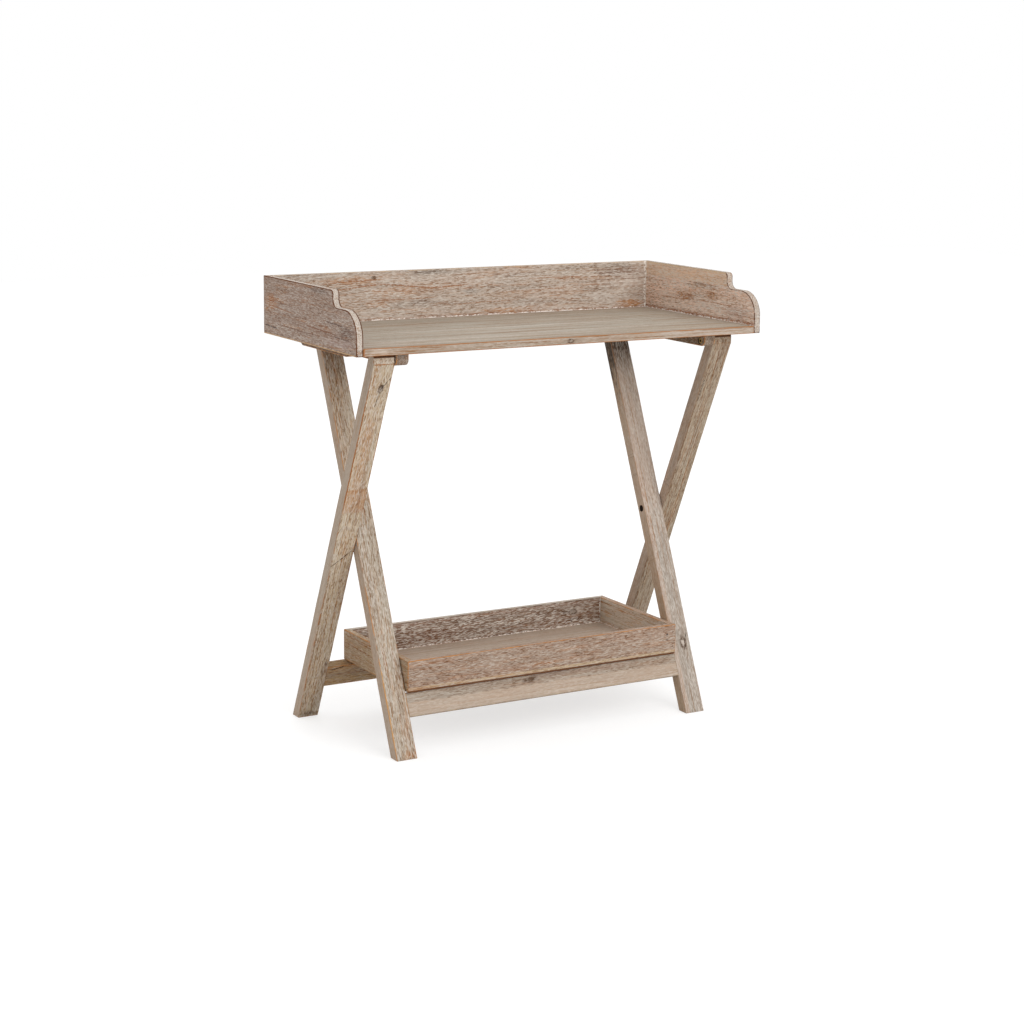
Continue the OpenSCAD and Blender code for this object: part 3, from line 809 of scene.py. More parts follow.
@made_once("Weather patches")
def weather_patches(title):
    """Large soft patches: where the board is greyer, rosier, worn through to orange wood, or brushed
    free of lime."""
    w, takes, gives = shader_group(title, {"Board": None, "Shift": None}, PATCHES)
    place = w.vector("ADD", takes["Board"], takes["Shift"])
    for patch, (start, size, detail, roughness, low, high) in PATCHES.items():
        noise = w.noise(w.vector("ADD", place, start), detail, roughness, size)
        w.feed(gives[patch], w.rise(noise, low, high))
    return w.tree


@made_once("Worn arris")
def worn_arris(title):
    """Bare wood along the arrises, wider and narrower along the grain, with a thin dark line inside."""
    w, takes, gives = shader_group(
        title, {"Arris": 0.0, "Board": None, "Shift": None, "Reach": 1.5 * MM, "Least": 0.1},
        ("Bare", "Line"))
    place = w.vector("ADD", takes["Board"], takes["Shift"])
    wander = w.noise(place, 4.0, 0.65, (30.0, 190.0, 190.0))
    reach = w.times(takes["Reach"], w.rise(wander, 0.4, 0.62, takes["Least"], 1.7))
    share = w.over(takes["Arris"], w.plus(reach, NO_WIDTH))
    near = w.rise(takes["Arris"], 0.0018, 0.0015)
    w.feed(gives["Bare"], w.times(w.rise(share, 1.0, 0.5), near))
    dark = w.times(w.rise(w.apart(share, 1.1), 0.35, 0.1), w.rise(wander, 0.38, 0.46))
    w.feed(gives["Line"], w.times(dark, near))
    return w.tree


@made_once("Knot")
def knot_mark(title):
    """A knot at a place in the board: its heart, dark rim, soft halo, and how far it bends the grain."""
    w, takes, gives = shader_group(
        title,
        {"Board": None, "Along": 0.0, "Across": 0.0, "Size": 5 * MM, "Deep": 0.0, "Through": 0.0},
        ("Heart", "Rim", "Halo", "Bend"))
    board, size = takes["Board"], takes["Size"]
    along, across, through = w.parts(board)[:3]
    run = w.minus(along, takes["Along"])
    side = w.minus(across, takes["Across"])
    deep = w.times(w.minus(through, takes["Through"]), takes["Deep"])

    def reach(drawn_out):
        return w.over(w.length(w.times(run, drawn_out), side, deep), size)

    ragged = w.noise(board, 3.0, 0.6, (330.0, 330.0, 330.0))
    broken = w.noise(board, 3.0, 0.65, (190.0, 420.0, 420.0))
    share = w.plus(reach(0.6), w.times(w.minus(ragged, 0.5), 1.3))
    rim = w.rise(w.apart(share, 0.85), 0.55, 0.1)
    tail = w.plus(reach(0.28), w.times(ragged, 1.2))
    near = w.rise(reach(0.35), 3.4, 0.0)
    w.feed(gives["Heart"], w.rise(share, 0.75, 0.3))
    w.feed(gives["Rim"], w.times(rim, w.rise(broken, 0.36, 0.56, 0.15, 1.0)))
    w.feed(gives["Halo"], w.rise(tail, 2.6, 0.9))
    w.feed(gives["Bend"], w.times(w.times(side, near), -0.85))
    return w.tree


@made_once("Line")
def line_mark(title):
    """A thin, ragged, broken line in the board that tapers to both ends, for cracks and dark grain, and,
    made wide, for strips of painted shade.
    """
    w, takes, gives = shader_group(
        title,
        {"Board": None, "Along": 0.0, "Across": 0.0, "Length": 50 * MM, "Slope": 0.0,
         "Width": 0.8 * MM, "Wander": 6 * MM, "Waves": 150.0},
        ("Inside",))
    along, across = w.parts(takes["Board"])[:2]
    run = w.minus(along, takes["Along"])
    line = w.plus(takes["Across"], w.times(run, takes["Slope"]))
    ragged = w.noise(w.join(w.times(along, takes["Waves"]), w.times(across, 90.0), 0.0), 4.0, 0.6)
    line = w.plus(line, w.times(w.minus(ragged, 0.5), takes["Wander"]))
    taper = w.over(w.math("ABSOLUTE", run), w.times(takes["Length"], 0.5))
    broken = w.noise(takes["Board"], size=(260.0, 260.0, 30.0))
    width = w.times(takes["Width"], w.rise(taper, 1.0, 0.6))
    width = w.times(width, w.rise(broken, 0.35, 0.6, 0.35, 1.5))
    share = w.over(w.apart(across, line), w.plus(width, NO_WIDTH))
    w.feed(gives["Inside"], w.rise(share, 1.0, 0.45))
    return w.tree


@made_once("Stain")
def soft_patch_mark(title):
    """A soft ragged patch round a place in the board."""
    w, takes, gives = shader_group(
        title,
        {"Board": None, "Ragged": 0.5, "Along": 0.0, "Across": 0.0, "Run": 10 * MM, "Spread": 10 * MM},
        ("Inside",))
    along, across = w.parts(takes["Board"])[:2]
    run = w.over(w.minus(along, takes["Along"]), takes["Run"])
    side = w.over(w.minus(across, takes["Across"]), takes["Spread"])
    reach = w.times_plus(w.minus(takes["Ragged"], 0.5), 2.2, w.length(run, side, 0.0))
    w.feed(gives["Inside"], w.rise(reach, 1.25, 0.35))
    return w.tree


@made_once("Joint filler")
def joint_filler(title):
    """Lime caught in a joint: a dotted white line, by the distance off the joint."""
    w, takes, gives = shader_group(
        title, {"Board": None, "Off": 0.0, "Width": 1.6 * MM}, ("White",))
    dots = w.noise(takes["Board"], 3.0, 0.6, (210.0, 210.0, 210.0))
    spread = w.times(takes["Width"], w.rise(dots, 0.44, 0.62, 0.12, 1.8))
    w.feed(gives["White"], w.rise(w.over(takes["Off"], spread), 1.0, 0.55))
    return w.tree


def new_material(name):
    """A material, the wiring of its tree and its Principled node."""
    material = bpy.data.materials.new(name)
    material.use_nodes = True
    w = Wiring(material.node_tree)
    return material, w, next(node for node in w.tree.nodes if node.type == "BSDF_PRINCIPLED")


def feed_skin(w, skin, colour, roughness, height, strength, distance):
    """Feeds a Principled node with its colour and roughness, and with the bump of a height."""
    bump = w.add("Bump")
    for socket, value in (("Strength", strength), ("Distance", distance), ("Height", height)):
        w.feed(bump.inputs[socket], value)
    for socket, value in (("Base Color", colour), ("Roughness", roughness), ("Normal", bump.outputs[0])):
        w.feed(skin.inputs[socket], value)


# How the layers of the limed finish are laid on
SEED_SHIFT = (0.731, 0.297, 0.513)
ROSY = (1.04, 0.93, 0.87, 1)
BAND_RAGGED = 1.6 * MM
BAND_SOFT = 0.8 * MM
GAP_SOFT = 0.3 * MM
HALO_SHADE = (0.55, 0.47, 0.40, 1.0)
LINE_WAVES = 14.0
ARRIS_LINE = 0.5
HALO_STRENGTH = 0.45
RIM_STRENGTH = 0.9
HEART_STRENGTH = 0.8
CRACK_STRENGTH = 0.9
GAP_STRENGTH = 0.9
DEEP_STRENGTH = 0.95
JOINT_NEAR = 1 * MM
JOINT_FAR = 3 * MM
DRY_WOOD = (0.7, 0.92)
SPECULAR = 0.25
DASH_HEIGHT = -0.5
PIT_HEIGHT = -0.4
RING_HEIGHT = -0.3
CRACK_DEPTH = 2.0
GRAIN_BUMP = 0.7
GRAIN_BUMP_HEIGHT = 0.5 * MM
# Strength, shade that the colour is multiplied by, and whether brushed places have it stronger
GRAIN_LAYERS = {
    "Broad": (0.26, (0.82, 0.76, 0.72, 1.0), False),
    "Rings": (0.22, (0.76, 0.68, 0.62, 1.0), False),
    "Streaks": (0.35, (0.74, 0.66, 0.60, 1.0), False),
    "Hairs": (0.75, (0.70, 0.48, 0.30, 1.0), False),
    "Dashes": (0.36, (0.62, 0.50, 0.41, 1.0), True),
    "Pits": (1.0, (0.58, 0.47, 0.38, 1.0), True),
    "Rust": (0.1, (0.92, 0.66, 0.44, 1.0), False),
}
RUST_BY_ORANGE = 0.6


class LimedWood:
    """The limed, brushed finish of one wooden piece, laid on in layers from its row in FINISHES.

    face and edge are the mean screen colours of its two flat faces and of the faces round its outline.
    wash is the lime's strength, depth the fine grain's contrast and streaky that of the long streaks,
    each for face and edge. clouds are the strengths of the grey, rosy and orange patches. bare is the
    strength, reach in millimetres and least reach of the worn arrises, and rim their colour. Places in the
    board are metres along and across its grain, and side is 0 for the flat faces, 1 for the edges and None
    for both. A direction is 0 along, 1 across and 2 through the grain. Sizes of knots, widths and wander
    are millimetres:
    knots are (along, across, size, deep, through, heart colour),
    cracks are (along, across, length, slope, width),
    lines are (along, across, length, slope, width, wander, colour, share, side),
    stains are (along, across, run, spread, colour, share, side), soft patches, some of the wood's own
    colour and some painted light and shade, bands are (direction, from, to, colour, share, side, calm),
    calm being how far the grain fades in it, joints are (direction, place, width, face), face being how
    far through the board its inner face lies, gaps are (direction, from, to, side) of painted shade where
    a joint lies in shadow, and hollow is (direction, place, direction, place, radius) of a bolt recess,
    painted dark as its shade.
    """

    def __init__(self, node):
        self.marks = marks = SimpleNamespace(**{**PLAIN, **FINISHES[node]})
        self.material, self.w, skin = new_material(node + "_wood")
        w = self.w
        self.board = w.add("Attribute", attribute_name="board").outputs["Vector"]
        self.places = w.parts(self.board)
        self.on_edge = w.add("Attribute", attribute_name="edge").outputs["Fac"]
        self.on_face = w.minus(1.0, self.on_edge)
        self.shift = tuple(marks.seed * share for share in SEED_SHIFT)
        self.knots = self.make_knots()
        self.grain = w.group(brushed_grain(), Board=self.board, Shift=self.shift, Bend=self.bend())
        self.patches = w.group(weather_patches(), Board=self.board, Shift=self.shift)
        self.contrast = self.by_side(marks.depth)
        self.colour = w.blend(self.on_edge, lit(marks.face), lit(marks.edge or marks.face))
        self.paint(self.patches["Rosy"], marks.clouds[1], ROSY, "MULTIPLY")
        self.lay_bands()
        self.lay_stains_and_painted_light()
        self.lay_weather_and_grain()
        self.lay_lime()
        self.lay_worn_arrises()
        self.lay_lines()
        self.lay_knots()
        self.lay_joints()
        opened = self.lay_cracks()
        self.lay_shadows()
        height = w.times(self.grain["Pits"], PIT_HEIGHT)
        height = w.times_plus(self.grain["Dashes"], DASH_HEIGHT, height)
        height = w.times(w.times_plus(self.grain["Rings"], RING_HEIGHT, height), self.contrast)
        if opened is not None:
            height = w.minus(height, w.times(opened, CRACK_DEPTH))
        skin.inputs["Specular IOR Level"].default_value = SPECULAR
        roughness = w.rise(self.grain["Streaks"], 0.0, 1.0, *DRY_WOOD)
        feed_skin(w, skin, self.colour, roughness, height, GRAIN_BUMP, GRAIN_BUMP_HEIGHT)

    def by_side(self, pair):
        """The first value of a pair on the flat faces, and the second round the outline."""
        return self.w.times_plus(self.on_edge, pair[1] - pair[0], pair[0])

    def on(self, side, inside):
        """A mask kept to the flat faces for side 0, to the edges for side 1, or as it is for None."""
        if side is None:
            return inside
        return self.w.times(inside, self.on_edge if side else self.on_face)

    def within(self, place, start, end, outside, inside=0.0):
        """A mask between two places, which fades from inside each to outside it."""
        w = self.w
        return w.times(w.rise(place, start - outside, start + inside),
                       w.rise(place, end + outside, end - inside))

    def paint(self, mask, strength, shade, mode="MIX"):
        """Lays a shade on by a mask times a strength."""
        self.colour = self.w.blend(self.w.times(mask, strength), self.colour, shade, mode)

    def make_knots(self):
        return [(self.w.group(knot_mark(), Board=self.board, Along=along, Across=across, Size=size * MM,
                              Deep=deep, Through=through), heart)
                for along, across, size, deep, through, heart in self.marks.knots]

    def bend(self):
        """How far all the knots together push the grain aside."""
        bends = [knot["Bend"] for knot, _ in self.knots]
        return reduce(self.w.plus, bends) if bends else 0.0

    def lay_bands(self):
        w = self.w
        for direction, start, end, shade, share, side, calm in self.marks.bands:
            ragged = w.times(w.minus(self.grain["Dashes"], 0.5), BAND_RAGGED)
            place = w.plus(self.places[direction], ragged)
            inside = self.on(side, self.within(place, start, end, BAND_SOFT, BAND_SOFT))
            self.paint(inside, share, lit(shade))
            if calm:
                self.contrast = w.times(self.contrast, w.times_plus(inside, -calm, 1.0))

    # Lays the soft patches: the wood's own marks, and painted light and shade.
    def lay_stains_and_painted_light(self):
        w = self.w
        moved = w.vector("ADD", self.board, self.shift)
        ragged = w.noise(moved, 3.0, 0.65, (70.0, 240.0, 240.0))
        for along, across, run, spread, shade, share, side in self.marks.stains:
            soft_patch = w.group(soft_patch_mark(), Board=self.board, Ragged=ragged, Along=along, Across=across,
                            Run=run, Spread=spread)
            self.paint(self.on(side, soft_patch["Inside"]), share, lit(shade))

    def lay_weather_and_grain(self):
        w, grain, patches = self.w, self.grain, self.patches
        grey, _, orange = self.marks.clouds
        greyed = w.times(patches["Grey"], w.rise(grain["Streaks"], 0.0, 0.8, 0.45, 1.0))
        self.paint(greyed, grey, (*colours().grey, 1.0))
        self.paint(patches["Orange"], orange, (*colours().bare, 1.0))
        long_contrast = self.by_side(self.marks.streaky or self.marks.depth)
        brushed = w.times(self.contrast, w.rise(patches["Brushed"], 0.0, 1.0, 0.5, 1.0))
        for layer, (strength, shade, is_brushed) in GRAIN_LAYERS.items():
            if layer == "Rust":
                strength = RUST_BY_ORANGE * orange + strength
            self.paint(w.times(grain[layer], strength), brushed if is_brushed else long_contrast, shade,
                       "MULTIPLY")

    def lay_lime(self):
        w = self.w
        drifts = w.rise(self.patches["Brushed"], 1.0, 0.0, 0.65, 1.0)
        self.paint(w.times(self.grain["Flecks"], drifts), self.by_side(self.marks.wash),
                   (*colours().lime, 1.0))

    def lay_worn_arrises(self):
        strength, reach, least = self.marks.bare
        arris = self.w.add("Attribute", attribute_name="arris").outputs["Fac"]
        worn = self.w.group(worn_arris(), Arris=arris, Board=self.board, Shift=self.shift,
                            Reach=reach * MM, Least=least)
        rim = lit(self.marks.rim) if self.marks.rim else (*colours().bare, 1.0)
        self.paint(worn["Bare"], strength, rim)
        self.paint(worn["Line"], ARRIS_LINE * strength, (*colours().knot, 1.0))

    def line(self, along, across, length, slope, width, **values):
        mark = self.w.group(line_mark(), Board=self.board, Along=along, Across=across, Length=length,
                            Slope=slope, Width=width * MM, **values)
        return mark["Inside"]

    def lay_lines(self):
        for *shape_of_line, wander, shade, share, side in self.marks.lines:
            line = self.line(*shape_of_line, Wander=wander * MM, Waves=LINE_WAVES)
            self.paint(self.on(side, line), share, lit(shade))

    def lay_knots(self):
        for knot, heart in self.knots:
            self.paint(knot["Halo"], HALO_STRENGTH, HALO_SHADE, "MULTIPLY")
            self.paint(knot["Rim"], RIM_STRENGTH, (*colours().knot, 1.0))
            self.paint(knot["Heart"], HEART_STRENGTH, lit(heart))

    def lay_joints(self):
        w = self.w
        for direction, place, width, inner_face in self.marks.joints:
            joint = w.group(joint_filler(), Board=self.board, Off=w.apart(self.places[direction], place),
                            Width=width * MM)
            below = w.apart(self.places[2], inner_face)
            near = w.rise(below, JOINT_FAR, JOINT_NEAR, 0.0, DEEP_STRENGTH)
            self.paint(joint["White"], near, lit(JOINT_WHITE))

    def lay_cracks(self):
        """Lays the cracks on, and gives the mask of them all."""
        cracks = [self.line(*crack) for crack in self.marks.cracks]
        if not cracks:
            return None
        opened = reduce(lambda one, two: self.w.math("MAXIMUM", one, two), cracks)
        self.paint(opened, CRACK_STRENGTH, (*colours().crack, 1.0))
        return opened

    # Painted shade: dark strips where joints lie in shadow, and the dark bolt recess.
    def lay_shadows(self):
        w = self.w
        for direction, start, end, side in self.marks.gaps:
            inside = self.within(self.places[direction], start, end, GAP_SOFT)
            self.paint(self.on(side, inside), GAP_STRENGTH, lit(PAINTED_GAP_SHADE))
        if self.marks.hollow:
            first, first_place, second, second_place, radius = self.marks.hollow
            out = w.length(w.minus(self.places[first], first_place),
                           w.minus(self.places[second], second_place), 0.0)
            near = w.rise(out, radius + RECESS_CHAMFER, radius, 0.0, DEEP_STRENGTH)
            self.colour = w.blend(near, self.colour, (*colours().crack, 1.0))


KNOT_BROWN = (96, 72, 54)
KNOT_WHITE = (196, 184, 172)
KNOT_GREY = (150, 138, 126)
JOINT_WHITE = (246, 240, 232)
# Painted shade for joints that lie in shadow
PAINTED_GAP_SHADE = (88, 50, 26)
ORANGE_LINE = (152, 98, 56)
ORANGE_PATCH = (190, 136, 86)
GREY_PATCH = (118, 110, 104)
BROWN_PATCH = (132, 106, 90)
PALE_LINE = (228, 218, 208)
SHELF_DARK = (142, 116, 88)
# Where the head facets start, and where painted shade under the shelf starts on the outer legs' heads
FACET_FOOT_S = HINGE_S - 1.1 * MM
HEAD_SHADE_S = HINGE_S + 9.0 * MM

# What a wooden piece has where its row in FINISHES doesn't say otherwise
PLAIN = dict(
    edge=None, rim=None, wash=(0.5, 0.5), depth=(1.0, 1.0), streaky=None, clouds=(0.5, 0.5, 0.3),
    bare=(0.8, 1.6, 0.2), knots=(), cracks=(), bands=(), stains=(), lines=(), joints=(), gaps=(),
    hollow=None)

# Mean colours and marks of each wooden piece, as LimedWood reads them, and the seed of its net
FINISHES = {
    "outer_leg_left": dict(
        seed=1, face=(176, 160, 143), edge=(204, 191, 168), rim=(160, 104, 58), wash=(0.15, 0.55),
        depth=(0.35, 1.25), streaky=(0.35, 1.25), clouds=(0.3, 0.3, 0.15), bare=(0.85, 1.2, 0.2),
        knots=[(0.31, -0.334, 4.6, 0.0, 0.0, KNOT_GREY)],
        cracks=[(-0.03, -0.338, 0.036, 1.13, 1.3), (0.321, -0.327, 0.028, 0.68, 0.9),
                (0.286, -0.3375, 0.03, 0.1, 0.5)],
        bands=[(0, 0.0645, 0.112, (178, 132, 90), 0.6, 1, 0.3),
               (0, FACET_FOOT_S, HEAD_SHADE_S, (228, 216, 200), 0.7, 1, 0.0)],
        stains=[(0.3135, -0.3315, 0.005, 0.0035, (70, 54, 42), 0.9, 1),
                (0.306, -0.336, 0.003, 0.003, PALE_LINE, 0.9, 1),
                (0.205, -0.34, 0.055, 0.013, (180, 134, 90), 0.6, 1),
                (0.13, -0.338, 0.045, 0.018, (178, 132, 90), 0.55, 1),
                (-0.262, -0.3235, 0.006, 0.004, (92, 76, 62), 0.8, 1),
                (-0.275, -0.326, 0.014, 0.007, (130, 108, 90), 0.5, 1),
                (-0.373, -0.337, 0.007, 0.022, (100, 80, 62), 0.6, 1),
                (-0.345, -0.325, 0.03, 0.008, (140, 118, 98), 0.4, 1)],
        lines=[(0.205, -0.3556, 0.3, 0.0, 1.1, 0.4, (150, 92, 46), 0.85, 1),
               (-0.05, -0.3188, 0.12, 0.0, 1.0, 0.4, ORANGE_LINE, 0.7, 1),
               (-0.16, -0.3545, 0.26, 0.0, 0.7, 1.0, (116, 80, 54), 0.7, 1),
               (-0.15, -0.352, 0.26, 0.0, 0.5, 1.0, PALE_LINE, 0.6, 1),
               # Painted shade between the head's facet and the cleat
               (0.362, -0.3186, 0.024, 0.0, 1.0, 0, PAINTED_GAP_SHADE, 0.8, 1)],
        # Painted shade on the head, under the shelf
        gaps=[(0, HEAD_SHADE_S, 0.38, 1)]),
    "outer_leg_right": dict(
        seed=2, face=(170, 150, 132), edge=(171, 157, 137), rim=(128, 92, 58), wash=(0.2, 0.2),
        depth=(0.4, 1.15), streaky=(0.5, 1.4), clouds=(0.4, 0.3, 0.2), bare=(0.4, 1.1, 0.15),
        cracks=[(0.26, 0.322, 0.06, 0.02, 0.6), (-0.163, 0.326, 0.05, 0.0, 0.5)],
        bands=[(0, FACET_FOOT_S, HEAD_SHADE_S, (206, 192, 172), 0.15, 1, 0.0)],
        stains=[(0.02, 0.3176, 0.14, 0.05, (190, 168, 150), 0.5, 0)],
        lines=[(0.17, 0.3195, 0.34, 0.0, 1.0, 0.8, (108, 78, 52), 0.75, 1),
               (0.18, 0.3556, 0.34, 0.0, 0.8, 0.6, (150, 110, 68), 0.6, 1)],
        # Painted shade on the head, under the shelf
        gaps=[(0, HEAD_SHADE_S, 0.38, 1)]),
    "inner_leg_left": dict(
        seed=3, face=(176, 158, 140), edge=(189, 180, 165), wash=(0.2, 0.6), depth=(0.4, 1.2),
        streaky=(0.4, 1.4), clouds=(0.2, 0.3, 0.35), bare=(0.8, 1.2, 0.2),
        # The pale band up the leg is painted light on its upper part, which the shelf shades.
        bands=[(0, 0.11, 0.4, (226, 212, 190), 0.55, 1, 0.0)],
        stains=[(-0.381, -0.287, 0.008, 0.016, (180, 138, 100), 0.6, 1),
                # Painted shade near the top of the leg, under the shelf
                (0.33, -0.3, 0.06, 0.04, (124, 98, 70), 0.65, 1)],
        lines=[(-0.295, -0.3153, 0.18, 0.0, 1.1, 0.4, (198, 148, 86), 0.8, 1),
               (0.3, -0.3, 0.16, 0.0, 0.8, 1.5, (120, 84, 52), 0.6, 1),
               (0.29, -0.29, 0.14, 0.0, 0.7, 1.5, (130, 92, 58), 0.6, 1)]),
    "inner_leg_right": dict(
        seed=4, face=(172, 149, 125), edge=(171, 162, 152), wash=(0.2, 0.5), depth=(0.4, 0.5),
        streaky=(0.4, 0.9), clouds=(0.1, 0.3, 0.1), bare=(0.35, 1.0, 0.1),
        knots=[(-0.2588, 0.301, 6.0, 0.0, 0.0, KNOT_WHITE)],
        cracks=[(-0.25, 0.308, 0.02, 0.5, 0.8), (-0.266, 0.3055, 0.016, -0.2, 0.7)],
        bands=[(1, 0.27, 0.286, (190, 168, 152), 0.6, 1, 0.5)],
        # The two dark stains at 0.345 along are painted shade at the leg's top, under the shelf.
        stains=[(0.345, 0.3, 0.078, 0.12, (52, 36, 20), 1.0, 1),
                # The next two pale stains are painted light on the leg's middle, which the shelf shades.
                (0.13, 0.297, 0.16, 0.04, (208, 190, 176), 0.6, 1),
                (0.08, 0.2776, 0.18, 0.04, (192, 172, 154), 0.5, 0),
                (0.345, 0.2776, 0.12, 0.12, (54, 40, 26), 0.95, 0)],
        # Both wide dark lines are painted shade at the very top of the leg.
        lines=[(0.366, 0.2968, 0.09, 0.0, 60, 4, (56, 38, 20), 0.7, 1),
               (0.366, 0.2776, 0.09, 0.0, 40, 4, (60, 44, 28), 0.6, 0)],
        # Painted shade in the bolt recess
        hollow=(0, 0.0, 2, 0.0, RECESS_R)),
    "front_rail": dict(
        seed=5, face=(167, 155, 141), edge=(180, 160, 140), rim=(200, 180, 142), wash=(0.25, 0.4),
        depth=(0.8, 0.8), streaky=(0.5, 0.5), clouds=(0.1, 0.4, 0.1), bare=(0.4, 1.0, 0.1),
        knots=[(-0.03, -0.2835, 3.0, 0.0, 0.0, KNOT_BROWN)],
        bands=[(1, FRONT_RAIL_S - RAIL_H, FRONT_RAIL_S - 0.019, (190, 170, 152), 0.6, 0, 0.75)],
        stains=[(-0.03, -0.284, 0.018, 0.007, (92, 74, 60), 0.75, 0),
                (0.01, -0.279, 0.07, 0.006, (132, 108, 92), 0.65, 0),
                (0.12, -0.282, 0.1, 0.006, (144, 116, 96), 0.55, 0),
                (0.225, -0.288, 0.05, 0.008, (156, 124, 98), 0.45, 0),
                (-0.14, -0.279, 0.07, 0.005, (160, 140, 124), 0.5, 0)],
        # Painted shade on the rail's top, under the tray's overhang
        gaps=[(1, FRONT_RAIL_S - 2.0 * MM, FRONT_RAIL_S, 0)]),
    "back_rail": dict(
        seed=6, face=(182, 155, 117), wash=(0.3, 0.3), depth=(0.9, 0.9),
        cracks=[(-0.295, -0.28, 0.035, 0.2, 1.0)]),
    "shelf_panel": dict(
        seed=7, face=(181, 174, 161), edge=(178, 166, 152), rim=(158, 104, 58), wash=(0.14, 0.25),
        depth=(0.4, 0.2), streaky=(1.35, 2.0), clouds=(0.1, 0.35, 0.05), bare=(0.95, 1.5, 0.8),
        knots=[(0.004, -0.18, 3.4, 1.0, 0.699, KNOT_GREY)],
        bands=[(1, -0.163, -0.148, (196, 186, 172), 0.5, 0, 0.0),
               (1, -0.177, -0.164, (150, 136, 116), 0.4, 0, 0.0),
               (0, -0.388, -0.385, (172, 112, 64), 0.85, 1, 0.0)],
        stains=[(-0.36, -0.18, 0.018, 0.006, (226, 214, 202), 0.35, 1),
                (0.27, -0.18, 0.09, 0.006, (196, 184, 174), 0.4, 1)],
        lines=[(0.05, -0.14, 0.6, 0.0, 4, 5, SHELF_DARK, 0.3, 0),
               (0.22, -0.115, 0.34, 0.0, 3, 5, SHELF_DARK, 0.35, 0),
               (-0.2, -0.12, 0.34, 0.0, 3, 5, PALE_LINE, 0.35, 0),
               (0.12, -0.095, 0.4, 0.01, 4, 6, PALE_LINE, 0.3, 0),
               (-0.1, -0.075, 0.5, 0.0, 4, 6, SHELF_DARK, 0.3, 0),
               (0.15, -0.045, 0.44, 0.0, 4, 6, SHELF_DARK, 0.3, 0),
               (-0.05, -0.01, 0.6, 0.0, 4, 6, PALE_LINE, 0.3, 0),
               (0.1, 0.04, 0.5, 0.0, 4, 6, SHELF_DARK, 0.3, 0),
               (-0.15, 0.09, 0.4, 0.0, 4, 6, SHELF_DARK, 0.35, 0)]),
    "back_board": dict(
        seed=8, face=(200, 187, 175), rim=(206, 176, 140), wash=(0.8, 0.6), depth=(1.0, 0.9),
        streaky=(0.8, 0.9), clouds=(0.4, 0.5, 0.35), bare=(0.5, 1.2, 0.2),
        knots=[(-0.193, 0.782, 2.5, 0.0, 0.0, KNOT_BROWN)],
        bands=[(1, SHELF_TOP_Z, SHELF_TOP_Z + 4 * MM, (166, 112, 70), 0.5, 0, 0.0)],
        stains=[(-0.084, 0.7886, 0.04, 0.005, GREY_PATCH, 0.6, 0),
                (0.007, 0.7509, 0.016, 0.006, GREY_PATCH, 0.45, 0),
                (0.08, 0.7773, 0.045, 0.005, GREY_PATCH, 0.45, 0),
                (-0.1, 0.7353, 0.024, 0.007, BROWN_PATCH, 0.6, 0),
                (0.33, 0.7745, 0.055, 0.012, BROWN_PATCH, 0.65, 0),
                (0.075, 0.7135, 0.05, 0.005, ORANGE_PATCH, 0.75, 0),
                (-0.185, 0.7353, 0.032, 0.007, ORANGE_PATCH, 0.55, 0),
                (0.355, 0.715, 0.034, 0.008, ORANGE_PATCH, 0.9, 0),
                (-0.23, 0.7775, 0.07, 0.01, ORANGE_PATCH, 0.5, 0),
                (-0.13, 0.756, 0.08, 0.01, ORANGE_PATCH, 0.4, 0),
                (-0.28, 0.73, 0.06, 0.014, ORANGE_PATCH, 0.35, 0)],
        lines=[(-0.225, 0.7665, 0.11, 0.08, 1.3, 3, ORANGE_LINE, 0.75, 0),
               (-0.125, 0.765, 0.13, -0.1, 1.2, 3, ORANGE_LINE, 0.75, 0),
               (-0.045, 0.7612, 0.1, 0.06, 1.2, 3, ORANGE_LINE, 0.75, 0),
               (-0.24, 0.7765, 0.14, 0.04, 1.2, 3, ORANGE_LINE, 0.75, 0),
               (-0.13, 0.742, 0.14, 0.0, 1.0, 3, ORANGE_LINE, 0.6, 0),
               (0.04, 0.73, 0.16, 0.02, 1.0, 3, ORANGE_LINE, 0.6, 0),
               (0.14, 0.748, 0.16, 0.02, 1.0, 3, ORANGE_LINE, 0.55, 0),
               (0.19, 0.769, 0.14, 0.0, 1.0, 3, ORANGE_LINE, 0.55, 0),
               (0.31, 0.78, 0.14, 0.0, 0.8, 0.8, (116, 88, 70), 0.7, 0),
               (0.33, 0.761, 0.12, 0.0, 0.8, 0.8, (116, 88, 70), 0.6, 0),
               (0.31, 0.7705, 0.13, 0.0, 0.7, 0.8, PALE_LINE, 0.7, 0),
               (0.335, 0.7555, 0.11, 0.0, 0.7, 0.8, PALE_LINE, 0.7, 0)],
        joints=[(1, SHELF_TOP_Z, 1.6, -BACK_FRONT_Y), (0, SHELF_HALF, 3.6, -BACK_FRONT_Y),
                (0, -SHELF_HALF, 3.0, -BACK_FRONT_Y)]),
    "left_end_board": dict(
        seed=9, face=(162, 141, 128), edge=(200, 190, 180), rim=(100, 58, 30), wash=(0.45, 0.8),
        depth=(0.85, 1.0), streaky=(0.65, 0.5), clouds=(0.2, 0.2, 0.45), bare=(1.0, 1.5, 0.8),
        bands=[(0, 0.0074, 0.009, (130, 110, 98), 0.4, 0, 0.0)],
        stains=[(-0.18, 0.7, 0.006, 0.005, (112, 82, 60), 0.6, 1),
                (-0.04, 0.7863, 0.045, 0.005, (118, 102, 94), 0.6, 0),
                (-0.145, 0.7268, 0.026, 0.014, (110, 86, 74), 0.8, 0),
                (-0.12, 0.708, 0.06, 0.01, (178, 156, 150), 0.5, 0),
                (0.15, 0.75, 0.028, 0.016, (166, 116, 76), 0.8, 0),
                (0.112, 0.7705, 0.03, 0.008, (156, 118, 88), 0.4, 0)],
        lines=[(0.0, 0.694, 0.5, 0.0, 1.3, 0.2, (204, 168, 128), 0.85, 0),
